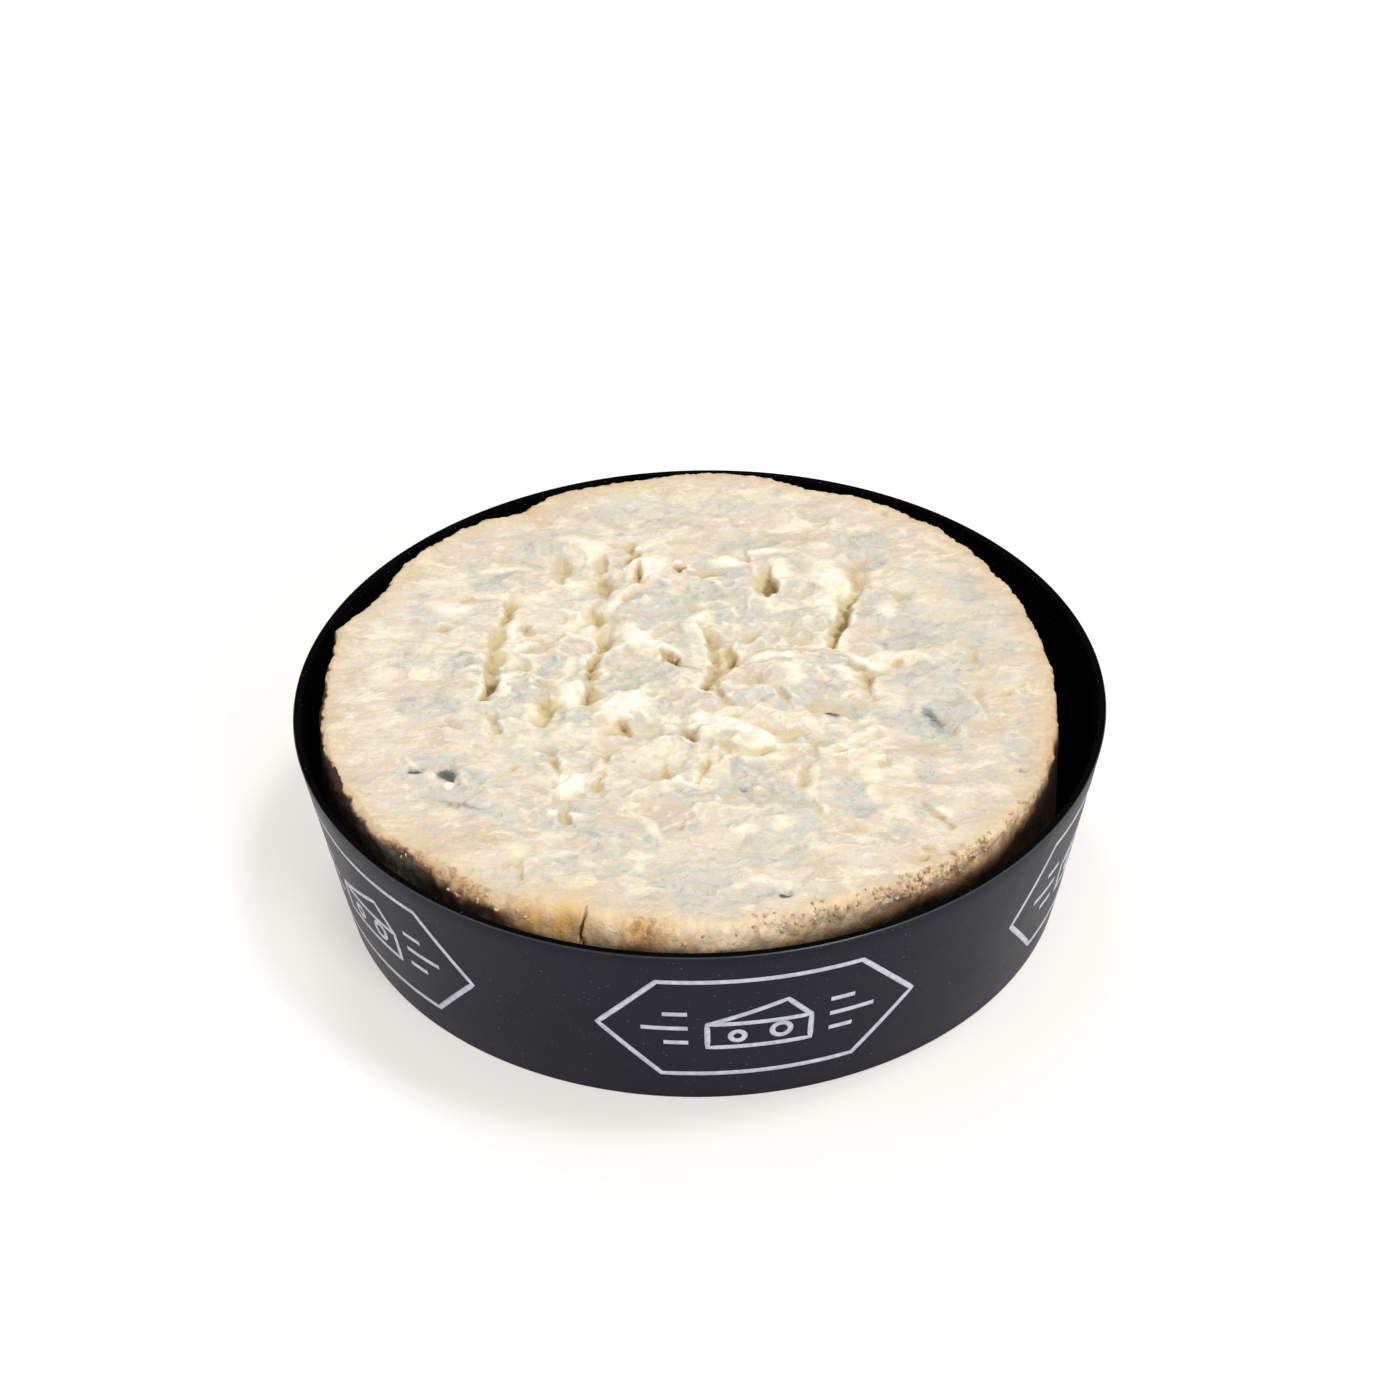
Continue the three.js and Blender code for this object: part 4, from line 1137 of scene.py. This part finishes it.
    # moist on the paste, dull on the mould and the rind
    rough = plus(ramp(noisy(4, 3, 0.6), 0.3, 0.7, surface["wet"], surface["dry"]), times(mould, 0.15))
    rough = plus(rough, times(ramp(depth, -2, 3), 0.3), True)
    height = plus(times(noisy(1.5, 4, 0.65), 0.55), times(noisy(4.6, 4, 0.6, 0.9, (0.75, 1, 1)), 0.55))
    height = minus(height, times(plus(curls, flecks), 0.3))
    feed(shader, {
        "Base Color": colour, "Roughness": rough,
        "Normal": bump(height, surface["bump"], surface["bumpHeight"]),
        "Subsurface Weight": surface["subsurface"], "Subsurface Radius": surface["subsurfaceRadius"],
        "Subsurface Scale": surface["subsurfaceScale"], "Specular IOR Level": surface["specular"],
    })
    return material


def crumbMaterial(name, dark, pale):
    material, shader = newMaterial(name)
    mottle = noisy(1.4, 3, 0.6)
    tone = plus(attribute("tone"), minus(mottle, 0.5))
    feed(shader, {
        "Base Color": over(dark, pale, ramp(tone, 0.1, 0.8)), "Roughness": ramp(mottle, 0.3, 0.7, 0.5, 0.75),
        "Normal": bump(mottle, crumbLooks["bump"], crumbLooks["bumpHeight"]),
        "Subsurface Weight": crumbLooks["subsurface"], "Subsurface Scale": crumbLooks["subsurfaceScale"],
        "Specular IOR Level": crumbLooks["specular"],
    })
    return material


def plasticMaterial(name, colour, low, high, specular, grain):
    material, shader = newMaterial(name)
    cloud = speckled(38, 0.35, 0.7, 4, 0.6)
    pale = tuple(min(1.0, channel * 1.5 + 0.002) for channel in colour[:3]) + (1.0,)
    body = over(colour, pale, cloud, 0.6)
    body = over(body, tub["dust"], speckled(1.3, 0.735, 0.76, 1, 0.5), tub["dustShare"])
    feed(shader, {
        "Base Color": body, "Roughness": ramp(cloud.outputs["Noise"], 0.3, 0.7, low, high),
        "Normal": bump(noisy(0.7, 2, 0.5), grain, tub["grainHeight"]), "Specular IOR Level": specular,
    })
    return material


def inkMaterial():
    material, shader = newMaterial("badgeInk")
    colour = over(badge["wornInk"], badge["ink"], speckled(3, 0.35, 0.65, 4, 0.7))
    feed(shader, {"Base Color": colour, "Roughness": badge["inkRoughness"]})
    return material


# The floor and lights. The floor glows a little, so that the shadow round the foot stays pale.
stage = {
    "size": 16.0,              # metres
    "floor": srgb(196, 196, 196),
    "floorGlow": 0.5,
    "glowTint": (1.0, 0.955, 0.9, 1.0),
    "sky": 0.5,
    "skyTint": (1.0, 0.99, 0.975, 1.0),
    "floorRoughness": 0.9,
}
# Lamps: name, place, aim and size in metres, watts, colour.
lamps = [
    ("right", (2.9, 0.0, 8.9), (0, 0, 0.08), 2.0, 292, (1.0, 0.99, 0.975)),
    ("back", (-1.1, 5.1, 9.4), (0, 0, 0.08), 2.9, 218, (1.0, 0.99, 0.975)),
    ("frontRight", (1.8, -3.2, 2.4), (0, 0, 0.05), 1.4, 68, (1.0, 0.985, 1.0)),
    ("left", (-1.5, -0.9, 0.7), (0, 0, 0.05), 0.6, 2, (1.0, 0.98, 0.98)),
]


def makeStage():
    half = stage["size"] / 2
    corners = np.array([[-half, -half, 0], [half, -half, 0], [half, half, 0], [-half, half, 0]])
    floor = meshObject("floor", corners, [[0, 1, 2, 3]])
    material, shader = newMaterial("floor")
    feed(shader, {
        "Base Color": stage["floor"], "Emission Color": stage["glowTint"],
        "Emission Strength": stage["floorGlow"], "Roughness": stage["floorRoughness"],
        "Specular IOR Level": 0.0,
    })
    floor.data.materials.append(material)
    world = bpy.data.worlds.new("studio")
    bpy.context.scene.world = world
    world.use_nodes = True
    background = world.node_tree.nodes["Background"]
    background.inputs[0].default_value = stage["skyTint"]
    background.inputs[1].default_value = stage["sky"]
    for name, spot, aim, size, watts, tint in lamps:
        light = bpy.data.lights.new(name, "AREA")
        light.shape, light.size, light.energy, light.color = "DISK", size, watts, tint
        lamp = newObject(name, light)
        lamp.location = spot
        lamp.rotation_euler = (Vector(aim) - Vector(spot)).to_track_quat("-Z", "Y").to_euler()
    bpy.context.scene.view_settings.view_transform = "Standard"
    bpy.context.scene.view_settings.look = "None"
    print("stage: floor and", len(lamps), "lamps")


# The camera, from the photograph's own frame of 1400 by 1400 pixels.
photo = {
    "frame": 1400.0,
    "focal": 4059.1,           # pixels
    "rimCentre": (699.2, 694.4),
    "elevation": 36.74,
    "roll": -1.23,
    "distance": 1.55,          # metres from the middle of the rim
    "sensor": 36.0,            # millimetres
    "farthest": 60.0,          # metres
}


def makeCamera():
    lens = bpy.data.cameras.new("camera")
    lens.sensor_width = photo["sensor"]
    lens.sensor_fit = "HORIZONTAL"
    lens.lens = photo["focal"] / photo["frame"] * photo["sensor"]
    lens.shift_x = (photo["frame"] / 2 - photo["rimCentre"][0]) / photo["frame"]
    lens.shift_y = (photo["rimCentre"][1] - photo["frame"] / 2) / photo["frame"]
    lens.clip_end = photo["farthest"]
    camera = newObject("camera", lens)
    tilt = math.radians(photo["elevation"])
    turn = Matrix.Rotation(math.pi / 2 - tilt, 4, "X") @ Matrix.Rotation(math.radians(photo["roll"]), 4, "Z")
    away = Vector((0, -math.cos(tilt), math.sin(tilt))) * photo["distance"]
    camera.matrix_world = Matrix.Translation(Vector((0, 0, tubHeight * mm)) + away) @ turn
    bpy.context.scene.camera = camera
    print("camera:", round(lens.lens, 1), "mm lens")


def declare(piece, node):
    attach(piece, "root")
    if node:
        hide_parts(node)


makeCamera()
makeStage()
paste = makeCheese()
for piece in makeCrumbs(paste):
    declare(piece, None)
paste.data.materials.append(pasteMaterial())
declare(paste, "cheese")
declare(makeTub(), "tub")
declare(makeBadges(), None)
